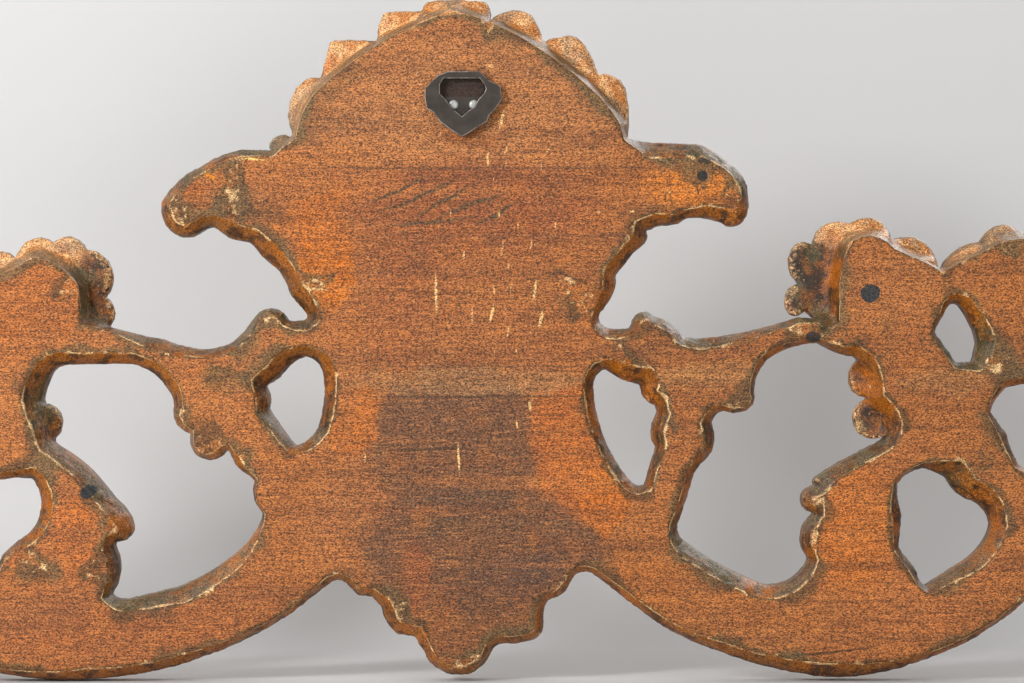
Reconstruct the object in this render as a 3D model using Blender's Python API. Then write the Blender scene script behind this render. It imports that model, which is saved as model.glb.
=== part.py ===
"""Carved overdoor panel: a pierced wooden board with relief carving, hung by a steel plate on its back.

The carved front faces -Y and the flat back faces +Y, +Z is up. The origin is on the outer face of the
hanger plate, just below its opening. Outlines are points read by eye from a straight view of the back.
"""
import math

import bmesh
import bpy
import numpy as np
from mathutils import Vector
from mathutils.geometry import delaunay_2d_cdt

for old in list(bpy.data.objects):
    bpy.data.objects.remove(old, do_unlink=True)

# Driving sizes, in metres.
SHOWN_WIDTH = 0.512
GAP = 0.0003
PANEL_EDGE_THICKNESS = 0.022
OVERHANG_DEPTH = 0.013
BEVEL_BASE_DEPTH = 0.0035
BEVEL_STEEPNESS = 0.65
BEVEL_HOLLOW = 1.2
OVERHANG_RISE = 0.0036
OVERHANG_RISE_WIDTH = 0.006
ROUNDING_WIDTH = 0.006
ROUNDING_START = 0.0015
RIM_HEIGHT = 0.006
RIM_OFFSET = 0.0065
RIM_WIDTH = 0.0042
SHELL_HINGE_LIFT = 0.00585
SHELL_LIFT = 0.013
FLUTE_HEIGHT = 0.0036
FLOWER_RIM_LIFT = 0.0055
FLOWER_LIFT = 0.010
BOSS_HEIGHT = 0.007
BOSS_RADIUS = 0.0075
CARTOUCHE_HALF_WIDTH = 0.040
CARTOUCHE_HALF_HEIGHT = 0.050
CARTOUCHE_LIFT = 0.014
CARTOUCHE_FRAME_LIFT = 0.0105
LEAF_HEIGHT = 0.005
PENDANT_LIFT = 0.010
PENDANT_LENGTH = 0.09
PENDANT_HALF_WIDTH = 0.05
PENDANT_VEIN_LIFT = 0.00125
VOLUTE_LIFT = 0.008
VOLUTE_RADIUS = 0.013
PLATE_PROUD = 0.004
PLATE_FACE_THICKNESS = 0.0012
PLATE_LEAF_THICKNESS = 0.0008
PLATE_RIM_WIDTH = 0.0011
NAIL_HEAD_RADIUS = 0.0025
NAIL_HEAD_THICKNESS = 0.0010
NAIL_SHANK_RADIUS = 0.0011
NAIL_SHANK_LENGTH = 0.011
NAIL_POINT_LENGTH = 0.003
CUTTER_OVERLAP = 0.0004
CUTTER_REACH = 0.002

# Proportions of the carving, as shares or counts.
SHELL_SPREAD_DEGREES = 101.0
SHELL_FADE_DEGREES = 14.0
PETALS_OF_A_FLOWER = 5
LEAVES_ROUND_CARTOUCHE = 14
CARTOUCHE_DOME_REACH = 0.92
CARTOUCHE_FRAME_REACH = 1.1
CARTOUCHE_LEAF_REACH = 1.6
PENDANT_VEINS = 5
SHELL_FAN_REACH = 1.25
SHELL_FAN_FADE = 0.2
FLOWER_RIM_REACH = 1.2
FLOWER_RIM_FADE = 0.35
PENDANT_TIP = 1.05
PENDANT_TIP_WIDTH = 0.02

# Finishes: red, green and blue, then roughness and metallic value.
WOOD_FINISH = ((0.43, 0.20, 0.09), 0.62, 0.0)
PLATE_FINISH = ((0.05, 0.055, 0.06), 0.45, 0.85)
NAIL_FINISH = ((0.62, 0.62, 0.6), 0.3, 0.9)

# Places in the straight view of the back, in its pixels: x to the right, y down.
SHOWN_WIDTH_PIXELS = 1024
PHOTO_PIXEL = SHOWN_WIDTH / SHOWN_WIDTH_PIXELS
ORIGIN_PIXEL = (462.0, 126.0)
MIDDLE_PIXEL_X = 456.0
SHELL_HINGE = (456.0, 150.0)
SHELL_RADIUS_PIXELS = 172.0
SHELL_FLUTE_DEGREES = 24.4
CARTOUCHE_CENTRE = (456.0, 385.0)
PENDANT_TOP_PIXEL_Y = 500.0
FLOWERS = [(852, 297, 56), (1042, 302, 62), (48, 304, 58), (-130, 302, 62)]
VOLUTES = [(716, 186), (194, 202)]
NAILS = {"nail_left": (453.5, 105.0), "nail_right": (474.0, 105.0)}
LEAF_TOP_PIXEL_Y = 97.0

# Each outline point is (x, y, bulge, bevel): the bulge of the arc to the next point, positive away
# from the wood, and the width of the gouge-cut bevel on the back. The wood lies left of the way round.
PENDANT = [
    (326, 587, -4, 8), (346, 584, 2, 8), (358, 597, 0, 9), (372, 598, 1, 10), (380, 607, 4, 14),
    (398, 637, 0, 15), (414, 638, 0, 14), (424, 655, 25, 11), (493, 650, 0, 10), (500, 645.5, 1, 10),
    (528, 643, 5, 9), (544, 626, -2, 9), (548, 601, 5, 8), (573, 580, -4, 8),
]
SCROLL_RIGHT = [
    (592, 574, 0, 7), (648, 617, 4, 9), (720, 653, 5, 12), (838, 680, 6, 17), (950, 652, 4, 7),
    (1024, 605, 7, 7),
]
WING_RIGHT = [
    (1086, 532, -4, 8), (1128, 492, 6, 8), (1170, 478, 7, 8), (1222, 482, 6, 8), (1262, 505, 24, 8),
    (1326, 478, 6, 9), (1300, 412, 6, 9), (1248, 368, 5, 9), (1185, 352, -3, 8), (1128, 366, 0, 3),
    (1112, 332, 24, 2), (1062, 238, 2, 2),
]
ROSES_RIGHT = [
    (1003, 239, -1, 2), (943, 268, 0, 2), (895, 247, 11, 2), (846, 243, 1, 2), (838, 285, 0, 2),
]
BAND_RIGHT = [
    (837, 320, 0, 4), (800, 317, -3, 6), (700, 338.5, 0, 12), (684, 337, 4, 10), (655, 316, 6, 10),
    (634, 318, 0, 8), (630, 328, -1, 9), (609, 328, -4, 12), (600, 313, 3, 8), (617, 283, 0, 16),
    (616, 275, 1, 15), (633, 253, 0, 14), (646, 243, 2, 15), (647, 230, 1, 16),
]
EAR_RIGHT = [
    (658, 225, 1, 13), (680, 223, -1, 11), (690, 217, -2, 9), (722, 222, 7, 16), (748, 216, 4, 12),
    (746, 179, 3, 9), (716, 151, 3, 12), (688, 142.5, 0, 15), (650, 141, -1, 18),
]
CREST = [
    (627, 137, 4, 1), (590, 87, 2, 1), (535, 45, 4, 1), (452, 9, 0, 1), (400, 31, 2, 1), (330, 78, 7, 1),
]
EAR_LEFT = [
    (292, 134, 1, 5), (272, 150, 1, 7), (240, 148.5, 3, 9), (200, 165, 4, 9), (160, 199, 5, 11),
    (168, 230, 7, 13), (200, 231, -1, 12), (212, 226, 0, 12), (228, 238, 1, 16),
]
BAND_LEFT = [
    (248, 241, 0, 16), (262, 258, 0, 20), (278, 271, -1, 16), (289, 295, 0, 18), (304, 312, -3, 16),
    (303, 320, -1, 12), (287, 320, 4, 8), (268, 308, 3, 10), (250, 321, -1, 10), (232, 341, -4, 10),
    (190, 348, -1, 9), (160, 339, -1, 14),
]
ROSES_LEFT = [
    (112, 328, 0, 4), (84, 322, 0, 2), (81, 300, 2, 2), (77, 280, 3, 2), (42, 256, 4, 2), (22, 262, 0, 2),
    (0, 273, 0, 2), (-30, 280, 0, 2), (-91, 239, 2, 2),
]
SCROLL_LEFT = [(-60, 650, 4, 8), (0, 676, 3, 8), (85, 681, 4, 13), (190, 663, 4, 11), (290, 615, 0, 5)]

# Pierced openings, with the wood on the same side of the way round.
PIERCINGS = {
    "slot_right": [
        (594, 388, -4, 11), (606, 369, 3, 12), (641, 385, 5, 22), (656, 406, 0, 14), (658, 412, 3, 14),
        (652, 442, 0, 14), (657, 447, 1, 10), (645, 487, -2, 8), (630, 481, -8, 10),
    ],
    "slot_left": [
        (264, 386, 2, 16), (284, 371, -2, 18), (304, 356.5, -4, 12), (322, 374, -3, 15),
        (317, 428, -3, 13), (294, 447, 0, 9), (267, 409, 4, 12),
    ],
    "bay_right": [
        (755, 392, -3, 6), (768, 360, -4, 8), (820, 343, 3, 5), (856, 357, -4, 12), (876, 380, 0, 8),
        (872, 398, -4, 8), (892, 424, -4, 12), (878, 444, 1, 12), (820, 476, 3, 13), (816, 487, 14, 12),
        (816, 514, 11, 10), (810, 560, -9, 10), (765, 586, -3, 14), (688, 544, -3, 15), (678, 526, 1, 9),
        (695, 474, 0, 9), (702, 465, 8, 10), (713, 423, -2, 14), (724, 411, 6, 6), (755, 404, 1, 5),
    ],
    "bay_left": [
        (40, 400, -1, 20), (48, 376, -3, 18), (65, 365, 0, 13), (130, 364, -5, 12), (168, 393, -2, 14),
        (171, 412, 5, 10), (189, 434, 19, 6), (226, 450, 4, 8), (254, 481, 6, 5), (262, 514, -4, 3),
        (232, 556, -2, 15), (180, 587, 0, 17), (125, 601, -1, 12), (108, 597, 8, 9), (112, 547, 0, 12),
        (113, 543, 6, 10), (132, 527, 3, 18), (112, 499, 1, 16), (84, 466, 1, 16), (50, 443, 0, 14),
    ],
    "eye_right": [
        (950, 306, -2, 8), (962, 305, -2, 12), (980, 343, 1, 18), (976, 362, 0, 12), (958, 362, 0, 8),
        (936, 332, 0, 4),
    ],
    "gap_right": [
        (992, 412, -2, 6), (1008, 388, -2, 8), (1050, 384, -4, 8), (1068, 405, 0, 8), (1060, 440, -2, 8),
        (1036, 470, -1, 6), (1020, 465, -1, 6), (1008, 432, 0, 10),
    ],
    "heart_right": [
        (899, 484, -2, 6), (925, 468, 0, 6), (949, 478, 3, 24), (968, 500, -6, 24), (994, 526, -4, 15),
        (968, 562, 0, 14), (927, 588, -1, 6), (918, 571, 0, 8), (900, 548, 0, 7), (904, 515, -2, 13),
    ],
    "heart_left": [
        (-82, 520, -3, 10), (-62, 492, 0, 10), (-20, 484, 0, 8), (14, 478, 1, 8), (28, 479, -3, 14),
        (38, 503, -4, 16), (24, 536, 2, 12), (0, 556, -1, 6), (-16, 588, 0, 6), (-60, 560, -5, 8),
    ],
}

# Front carving that reaches past the board's own edge: lobes of the shell as (x, y, bulge), then
# rounded petals as (centre x, centre y, half width, half height, turn in degrees).
SHELL_LOBES = [
    [(325, 140, 0), (345, 100, 0), (319, 76, 0), (309, 74, 5), (287, 104, 3), (291, 133, 0)],
    [(345, 110, 0), (395, 75, 0), (376, 39, 1), (334, 37, 2), (327, 43, 1), (320, 77, 0)],
    [(395, 70, 0), (430, 50, 0), (421, 8.5, 1), (388, 9, 2), (380, 15, 2), (376, 40, 0)],
    [(430, 50, 0), (480, 50, 0), (492, 13, 1), (487, -1, 2), (426, -2, 1), (421, 10, 0)],
    [(480, 50, 0), (530, 80, 0), (545, 39, 1), (533, 13, 4), (506, 9, 1), (492, 14, 0)],
    [(530, 70, 0), (570, 110, 0), (600, 74, 2), (583, 38, 4), (557, 35, 2), (544, 40, 0)],
    [(575, 110, 0), (605, 150, 0), (629, 136, 2), (628, 92, 5), (610, 72, 2), (598, 75, 0)],
]
PETALS = [
    (806, 262, 16, 22, 0), (799, 300, 13, 17, 10), (825, 286, 24, 35, 0), (841, 243, 26, 23, 0),
    (870, 245, 26, 29, 0), (912, 263, 30, 27, 35), (975, 263, 33, 20, -25), (1008, 251, 26, 28, 0),
    (1052, 248, 28, 28, 0), (1092, 275, 26, 26, 0), (1102, 318, 24, 26, 0), (35, 262, 24, 26, 0),
    (64, 262, 22, 27, 0), (84, 276, 26, 28, -20), (95, 313, 17, 18, 0), (-5, 276, 24, 26, 0),
    (-94, 251, 26, 28, 0), (-140, 248, 28, 28, 0), (-180, 275, 26, 26, 0), (-190, 318, 24, 26, 0),
    (-48, 262, 34, 20, 25), (867, 378, 16, 20, 0), (875, 419, 20, 21, 0), (43, 423, 16, 19, 0),
    (278, 142, 12, 9, -30),
]

# The steel hanger plate and its opening, as corner points of the same view.
PLATE_OUTLINE = [
    (425, 89), (438, 76), (448, 72), (480, 72), (489, 81), (500.5, 87), (502, 100), (495, 110),
    (489, 116), (487, 122), (477, 128), (468, 134), (462, 137), (452, 131), (440, 122), (434, 113),
    (427, 109), (425, 100),
]
PLATE_OPENING = [
    (443.5, 79), (480, 79), (484, 84.5), (486, 89.5), (484, 94), (478, 100.5), (475, 107), (469, 111),
    (462, 117), (453.5, 110), (448, 103), (444, 98), (440, 94), (440, 85),
]

# Mesh spacing: how far a chord may leave its arc, and how close sample points may come.
CHORD_ERROR_PIXELS = 0.34
SHORTEST_STEP_PIXELS = 4.0
LONGEST_STEP_PIXELS = 18.0
STRAIGHT_STEP_PIXELS = 17.0
PETAL_STEP_PIXELS = 9.0
FEWEST_PETAL_STEPS = 10
CLOSEST_EDGE_POINTS = 0.0009
SHARED_POINT_DIGITS = 5
FRONT_POINT_SPACING = 0.0042
FRONT_FILL_SPACING = 0.0110
CLOSEST_BACK_POINTS = 0.0019
CLEAR_OF_EDGE_LINE = 0.0012
FLAT_RING_REACH = 0.0021
SLIT_WIDTH = 0.0018
FEWEST_LOOP_POINTS = 6
SMALLEST_LOOP = 0.006
OVERHANG_STEP_OUT = 0.004
BACK_FILL_SPACING = 0.030
BORE_SIDES = 8
NAIL_SIDES = 12
FLUTE_POINT_SHARES = (0.2, 0.36, 0.52, 0.68, 0.82)
CARTOUCHE_RING_SHARES = (0.02, 0.35, 0.65, 0.9, 1.1, 1.28, 1.6)

BACK_PLANE_Y = -(PLATE_PROUD + GAP)


def mirrored(points):
    """The same stretch of outline on the other side of the middle, still with the wood on its left."""
    turned = []
    for index in range(len(points) - 1, -1, -1):
        x, y, _, bevel = points[index]
        bulge = points[index - 1][2] if index else 0
        turned.append((2 * MIDDLE_PIXEL_X - x, y, bulge, bevel))
    return turned


def arc_steps(start, end, bulge):
    """Points from start up to, but not including, end along an arc with the given bulge."""
    start = np.array(start, float)
    end = np.array(end, float)
    chord = math.dist(start, end)
    if not bulge:
        count = max(1, round(chord / STRAIGHT_STEP_PIXELS))
        return [start + (end - start) * step / count for step in range(count)]
    radius = (chord * chord / 4 + bulge * bulge) / (2 * abs(bulge))
    sweep = 4 * math.atan(2 * abs(bulge) / chord)
    step_length = math.sqrt(8 * radius * CHORD_ERROR_PIXELS)
    step_length = min(max(step_length, SHORTEST_STEP_PIXELS), LONGEST_STEP_PIXELS)
    count = max(2, math.ceil(radius * sweep / step_length))
    side = math.copysign(1, bulge)
    along = (end - start) / chord
    across = np.array((-along[1], along[0]))
    centre = (start + end) / 2 + across * side * (abs(bulge) - radius)
    spoke = start - centre
    steps = []
    for step in range(count):
        angle = -side * sweep * step / count
        cosine = math.cos(angle)
        sine = math.sin(angle)
        turned = (cosine * spoke[0] - sine * spoke[1], sine * spoke[0] + cosine * spoke[1])
        steps.append(centre + turned)
    return steps


def on_panel(points):
    """Pixels of the back view as (x, z) in metres; the view is from behind, so x turns round."""
    points = np.atleast_2d(np.array(points, float))
    x = (ORIGIN_PIXEL[0] - points[:, 0]) * PHOTO_PIXEL
    z = (ORIGIN_PIXEL[1] - points[:, 1]) * PHOTO_PIXEL
    return np.stack((x, z), axis=1)


def traced(corners):
    """One closed outline with its arcs, in metres, and the bevel width at each of its points."""
    points = []
    widths = []
    for index, corner in enumerate(corners):
        after = corners[(index + 1) % len(corners)]
        steps = arc_steps(corner[:2], after[:2], corner[2])
        for number, step in enumerate(steps):
            points.append(step)
            widths.append(corner[3] + (after[3] - corner[3]) * number / len(steps))
    return on_panel(points), np.array(widths) * PHOTO_PIXEL


def petal_outline(petal):
    centre_x, centre_y, half_width, half_height, turn = petal
    count = max(FEWEST_PETAL_STEPS, round(math.pi * (half_width + half_height) / PETAL_STEP_PIXELS))
    points = []
    for step in range(count):
        angle = 2 * math.pi * step / count
        x = half_width * math.cos(angle)
        y = half_height * math.sin(angle)
        cosine = math.cos(math.radians(turn))
        sine = math.sin(math.radians(turn))
        points.append((centre_x + x * cosine - y * sine, centre_y + x * sine + y * cosine))
    return on_panel(points)


def inside(points, outline):
    """Which points lie inside a closed outline, by counting the sides that a level line crosses."""
    x = points[:, 0][:, None]
    z = points[:, 1][:, None]
    start = outline
    end = np.roll(outline, -1, axis=0)
    rising = (start[:, 1][None] > z) != (end[:, 1][None] > z)
    height = np.where(end[:, 1] == start[:, 1], 1e-12, end[:, 1] - start[:, 1])
    crossing = start[:, 0] + (z - start[:, 1]) * (end[:, 0] - start[:, 0]) / height
    return (np.sum(rising & (x < crossing), axis=1) % 2) == 1


def nearest(points, outlines, widths=None):
    """Distance of each point from the nearest side of the outlines, and the bevel width there."""
    start = np.concatenate(outlines)
    end = np.concatenate([np.roll(outline, -1, axis=0) for outline in outlines])
    if widths is None:
        width_start = np.zeros(len(start))
        width_end = width_start
    else:
        width_start = np.concatenate(widths)
        width_end = np.concatenate([np.roll(width, -1) for width in widths])
    side = end - start
    length2 = np.maximum(np.sum(side * side, axis=1), 1e-18)
    distances = np.empty(len(points))
    bevels = np.empty(len(points))
    for number, point in enumerate(points):
        share = np.clip(np.sum((point - start) * side, axis=1) / length2, 0, 1)
        gap = start + side * share[:, None] - point
        distance2 = np.sum(gap * gap, axis=1)
        best = int(np.argmin(distance2))
        distances[number] = math.sqrt(distance2[best])
        bevels[number] = width_start[best] + (width_end[best] - width_start[best]) * share[best]
    return distances, bevels


def smooth_step(value):
    value = np.clip(value, 0, 1)
    return value * value * (3 - 2 * value)


# The board's own outline, and its pierced openings; the ends hidden from view repeat the other side.
BOARD_CORNERS = (
    PENDANT + SCROLL_RIGHT + WING_RIGHT + ROSES_RIGHT + BAND_RIGHT + EAR_RIGHT + CREST + EAR_LEFT
    + BAND_LEFT + ROSES_LEFT + mirrored(WING_RIGHT) + [(-112, 606, 6, 7)] + SCROLL_LEFT
)
HIDDEN_PIERCINGS = {"eye_left": "eye_right", "gap_left": "gap_right"}
board_outline, board_bevel = traced(BOARD_CORNERS)
pierced = dict(PIERCINGS)
for hidden_name, seen_name in HIDDEN_PIERCINGS.items():
    pierced[hidden_name] = mirrored(PIERCINGS[seen_name])
piercing_traces = [traced(corners) for corners in pierced.values()]
hole_outlines = [trace[0] for trace in piercing_traces]
board_outlines = [board_outline] + hole_outlines
board_bevels = [board_bevel] + [trace[1] for trace in piercing_traces]
overhangs = [traced([(*corner, 0) for corner in lobe])[0] for lobe in SHELL_LOBES]
overhangs += [petal_outline(petal) for petal in PETALS]


def in_board(points):
    found = inside(points, board_outline)
    for outline in hole_outlines:
        found &= ~inside(points, outline)
    return found


def in_wood(points):
    found = in_board(points)
    for outline in overhangs:
        found |= inside(points, outline)
    return found


def triangulate(points, loops):
    """Delaunay triangles over points, with the sides of the loops kept as edges."""
    sides = []
    for loop in loops:
        sides += [(loop[index], loop[(index + 1) % len(loop)]) for index in range(len(loop))]
    millimetres = [Vector((point[0] * 1000, point[1] * 1000)) for point in points]
    found = delaunay_2d_cdt(millimetres, sides, [], 0, 1e-5)
    vertices = np.array([(vertex.x, vertex.y) for vertex in found[0]]) / 1000
    triangles = [tuple(face) for face in found[2]]
    return vertices, triangles


def indexed(outlines):
    """The points of several outlines in one list, and each outline as a loop of places in it."""
    points = []
    loops = []
    for outline in outlines:
        loops.append(list(range(len(points), len(points) + len(outline))))
        points += [tuple(point) for point in outline]
    return points, loops


def kept(vertices, triangles, test):
    corners = vertices[np.array(triangles)]
    return [triangle for triangle, good in zip(triangles, test(corners.mean(axis=1))) if good]


def without_slits(chain, places):
    """The chain without the tips of slits so narrow that their two sides nearly meet."""
    shorter = True
    while shorter and len(chain) > 2:
        shorter = False
        for index in range(len(chain)):
            before = places[chain[index - 1]]
            after = places[chain[(index + 1) % len(chain)]]
            if math.dist(before, after) < SLIT_WIDTH:
                del chain[index]
                shorter = True
                break
    return chain


def silhouette_loops():
    """Closed loops round all the wood, from the board's outline joined with the overhanging carving."""
    points, loops = indexed(board_outlines + overhangs)
    vertices, triangles = triangulate(points, loops)
    wood = kept(vertices, triangles, in_wood)
    directed = set()
    for a, b, c in wood:
        directed |= {(a, b), (b, c), (c, a)}
    following = {}
    for a, b in directed:
        if (b, a) not in directed:
            following.setdefault(a, []).append(b)
    outlines = []
    while following:
        start = min(following)
        chain = [start]
        while True:
            options = following[chain[-1]]
            step = options.pop()
            if not options:
                del following[chain[-1]]
            if step == start:
                break
            chain.append(step)
        chain = without_slits(chain, vertices)
        if len(chain) < FEWEST_LOOP_POINTS:
            continue
        outline = [vertices[chain[0]]]
        for place in chain[1:]:
            if math.dist(vertices[place], outline[-1]) > CLOSEST_EDGE_POINTS:
                outline.append(vertices[place])
        if math.dist(outline[0], outline[-1]) < CLOSEST_EDGE_POINTS:
            outline.pop()
        outline = np.round(np.array(outline), SHARED_POINT_DIGITS)
        span = outline.max(axis=0) - outline.min(axis=0)
        if len(outline) >= FEWEST_LOOP_POINTS and span.min() > SMALLEST_LOOP:
            outlines.append(outline)
    return outlines


edge_loops = silhouette_loops()


def back_depth(points):
    """How far the back lies below its flat face: bevels at the board's edge, hollows under the carving."""
    distance, bevel = nearest(points, board_outlines, board_bevels)
    share = np.clip(distance / np.maximum(bevel, 0.0005), 0, 1)
    cut = (BEVEL_BASE_DEPTH + BEVEL_STEEPNESS * bevel) * (1 - share) ** BEVEL_HOLLOW
    beyond = OVERHANG_DEPTH - OVERHANG_RISE * (1 - smooth_step(distance / OVERHANG_RISE_WIDTH))
    on_board = in_board(points) | (distance < 1e-6)
    return np.where(on_board, cut, beyond)


def polar(points, centre):
    """Distance from a centre in metres, and the angle from straight up in radians."""
    offset = points - on_panel(centre)[0]
    return np.hypot(offset[:, 0], offset[:, 1]), np.arctan2(offset[:, 0], offset[:, 1])


def shell_relief(points):
    radius, angle = polar(points, SHELL_HINGE)
    reach = radius / (SHELL_RADIUS_PIXELS * PHOTO_PIXEL)
    fan = smooth_step((SHELL_SPREAD_DEGREES - np.abs(np.degrees(angle))) / SHELL_FADE_DEGREES)
    flutes = np.cos(angle * 2 * math.pi / math.radians(SHELL_FLUTE_DEGREES))
    body = SHELL_HINGE_LIFT + (SHELL_LIFT - SHELL_HINGE_LIFT) * np.clip(reach, 0, 1) ** 1.5
    body = body + FLUTE_HEIGHT * flutes * smooth_step(reach / 0.5)
    inside_fan = smooth_step((SHELL_FAN_REACH - reach) / SHELL_FAN_FADE)
    return body * fan * inside_fan


def flower_relief(points, flower):
    radius, angle = polar(points, flower[:2])
    reach = radius / (flower[2] * PHOTO_PIXEL)
    petals = 0.72 + 0.28 * np.cos(PETALS_OF_A_FLOWER * angle)
    swell = np.sin(np.clip(reach, 0, 1) * math.pi)
    cup = (FLOWER_RIM_LIFT + (FLOWER_LIFT - FLOWER_RIM_LIFT) * swell) * petals
    boss = BOSS_HEIGHT * np.sqrt(np.clip(1 - (radius / BOSS_RADIUS) ** 2, 0, 1))
    return cup * smooth_step((FLOWER_RIM_REACH - reach) / FLOWER_RIM_FADE) + boss


def cartouche_relief(points):
    offset = points - on_panel(CARTOUCHE_CENTRE)[0]
    reach = np.hypot(offset[:, 0] / CARTOUCHE_HALF_WIDTH, offset[:, 1] / CARTOUCHE_HALF_HEIGHT)
    angle = np.arctan2(offset[:, 0], offset[:, 1])
    dome = CARTOUCHE_LIFT * np.sqrt(np.clip(1 - (reach / CARTOUCHE_DOME_REACH) ** 2, 0, 1))
    frame = CARTOUCHE_FRAME_LIFT * np.exp(-((reach - CARTOUCHE_FRAME_REACH) / 0.09) ** 2)
    leaves = LEAF_HEIGHT * (1.1 + np.cos(LEAVES_ROUND_CARTOUCHE * angle))
    return dome + frame + leaves * np.exp(-((reach - CARTOUCHE_LEAF_REACH) / 0.3) ** 2)


def pendant_relief(points):
    x = (MIDDLE_PIXEL_X - ORIGIN_PIXEL[0]) * PHOTO_PIXEL + points[:, 0]
    down = (on_panel((0, PENDANT_TOP_PIXEL_Y))[0][1] - points[:, 1]) / PENDANT_LENGTH
    width = PENDANT_HALF_WIDTH * np.sqrt(np.clip(PENDANT_TIP - down, PENDANT_TIP_WIDTH, 1))
    across = np.abs(x) / width
    ridge = PENDANT_LIFT * np.clip(1 - across, 0, 1) ** 0.8
    veins = PENDANT_VEIN_LIFT * (1 + np.cos(2 * math.pi * (down * PENDANT_VEINS - across * 1.4)))
    return (ridge + veins * (across < 1)) * smooth_step(down / 0.25)


def volute_relief(points, volute):
    radius, angle = polar(points, volute)
    coil = 0.75 + 0.25 * np.cos(2 * math.pi * radius / (0.45 * VOLUTE_RADIUS) - angle)
    return VOLUTE_LIFT * smooth_step((1.3 * VOLUTE_RADIUS - radius) / (0.6 * VOLUTE_RADIUS)) * coil


def front_thickness(points):
    """How far the carved front stands from the plane of the flat back."""
    distance, _ = nearest(points, edge_loops)
    rim = RIM_HEIGHT * np.exp(-((distance - RIM_OFFSET) / RIM_WIDTH) ** 2)
    reliefs = [shell_relief(points), cartouche_relief(points), pendant_relief(points)]
    reliefs += [flower_relief(points, flower) for flower in FLOWERS]
    reliefs += [volute_relief(points, volute) for volute in VOLUTES]
    carved = np.max(reliefs, axis=0)
    lift = np.maximum(rim, carved) + 0.25 * np.minimum(rim, carved)
    return PANEL_EDGE_THICKNESS + lift * smooth_step((distance + ROUNDING_START) / ROUNDING_WIDTH)


class Scatter:
    """Sample points no closer together than asked, the first ones winning."""

    def __init__(self, cell):
        self.cell = cell
        self.cells = {}
        self.points = []

    def near(self, point, spacing):
        reach = math.ceil(spacing / self.cell)
        column = int(math.floor(point[0] / self.cell))
        row = int(math.floor(point[1] / self.cell))
        for i in range(column - reach, column + reach + 1):
            for j in range(row - reach, row + reach + 1):
                for other in self.cells.get((i, j), ()):
                    if math.dist(point, other) < spacing:
                        return True
        return False

    def add(self, point, spacing):
        if spacing and self.near(point, spacing):
            return
        key = (int(math.floor(point[0] / self.cell)), int(math.floor(point[1] / self.cell)))
        self.cells.setdefault(key, []).append(tuple(point))
        self.points.append(tuple(point))


def offset_points(outlines, distances):
    """Points inside the wood beside each outline point, at that point's own distance from it."""
    placed = []
    for outline, distance in zip(outlines, distances):
        before = np.roll(outline, 1, axis=0)
        after = np.roll(outline, -1, axis=0)
        along = after - before
        along /= np.maximum(np.linalg.norm(along, axis=1, keepdims=True), 1e-9)
        across = np.stack((-along[:, 1], along[:, 0]), axis=1)
        for side in (1, -1):
            placed.append(np.hstack((outline + side * across * distance[:, None], distance[:, None])))
    return np.concatenate(placed)


def ring(centre, radii, count, squash=1.0):
    """Points on rings round a centre, for the relief's own high and low lines."""
    middle = on_panel(centre)[0]
    points = []
    for radius in radii:
        for step in range(count):
            angle = 2 * math.pi * step / count
            points.append(middle + (radius * math.sin(angle), squash * radius * math.cos(angle)))
    return points


def honeycomb(spacing):
    everything = np.concatenate(edge_loops)
    low = everything.min(axis=0)
    high = everything.max(axis=0)
    points = []
    rows = int((high[1] - low[1]) / (spacing * 0.866)) + 1
    columns = int((high[0] - low[0]) / spacing) + 1
    for row in range(rows):
        for column in range(columns):
            points.append((low[0] + spacing * (column + 0.5 * (row % 2)), low[1] + spacing * 0.866 * row))
    return np.array(points)


def clear_of_edge(points, clearance):
    points = np.array(points)
    points = points[in_wood(points)]
    distance, _ = nearest(points, edge_loops)
    return points[distance > clearance]


def back_points():
    scatter = Scatter(2 * CLOSEST_BACK_POINTS)
    for outline in edge_loops:
        for point in outline:
            scatter.add(point, 0)
    rows = [
        (board_bevels, 0.9 * CLOSEST_BACK_POINTS),
        ([np.maximum(width, FLAT_RING_REACH) for width in board_bevels], 0.9 * CLOSEST_BACK_POINTS),
        ([np.zeros(len(width)) for width in board_bevels], 0.5 * CLOSEST_BACK_POINTS),
        ([0.5 * width for width in board_bevels], CLOSEST_BACK_POINTS),
        ([np.full(len(width), OVERHANG_STEP_OUT) for width in board_bevels], CLOSEST_BACK_POINTS),
    ]
    for number, (distances, spacing) in enumerate(rows):
        placed = offset_points(board_outlines, distances)
        wanted = placed[:, 2]
        points = placed[:, :2]
        distance, _ = nearest(points, board_outlines)
        edge_distance, _ = nearest(points, edge_loops)
        good = in_wood(points) & (edge_distance > CLEAR_OF_EDGE_LINE) & (distance > wanted * 0.93 - 1e-6)
        if number == len(rows) - 1:
            good &= ~in_board(points)
        elif number != 2:
            good &= in_board(points)
        for point in points[good]:
            scatter.add(point, spacing)
    fill = honeycomb(BACK_FILL_SPACING)
    fill = fill[in_board(fill)]
    distance, bevel = nearest(fill, board_outlines, board_bevels)
    for point in fill[distance > bevel + CLOSEST_BACK_POINTS]:
        scatter.add(point, 0.2 * BACK_FILL_SPACING)
    return scatter.points


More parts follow.
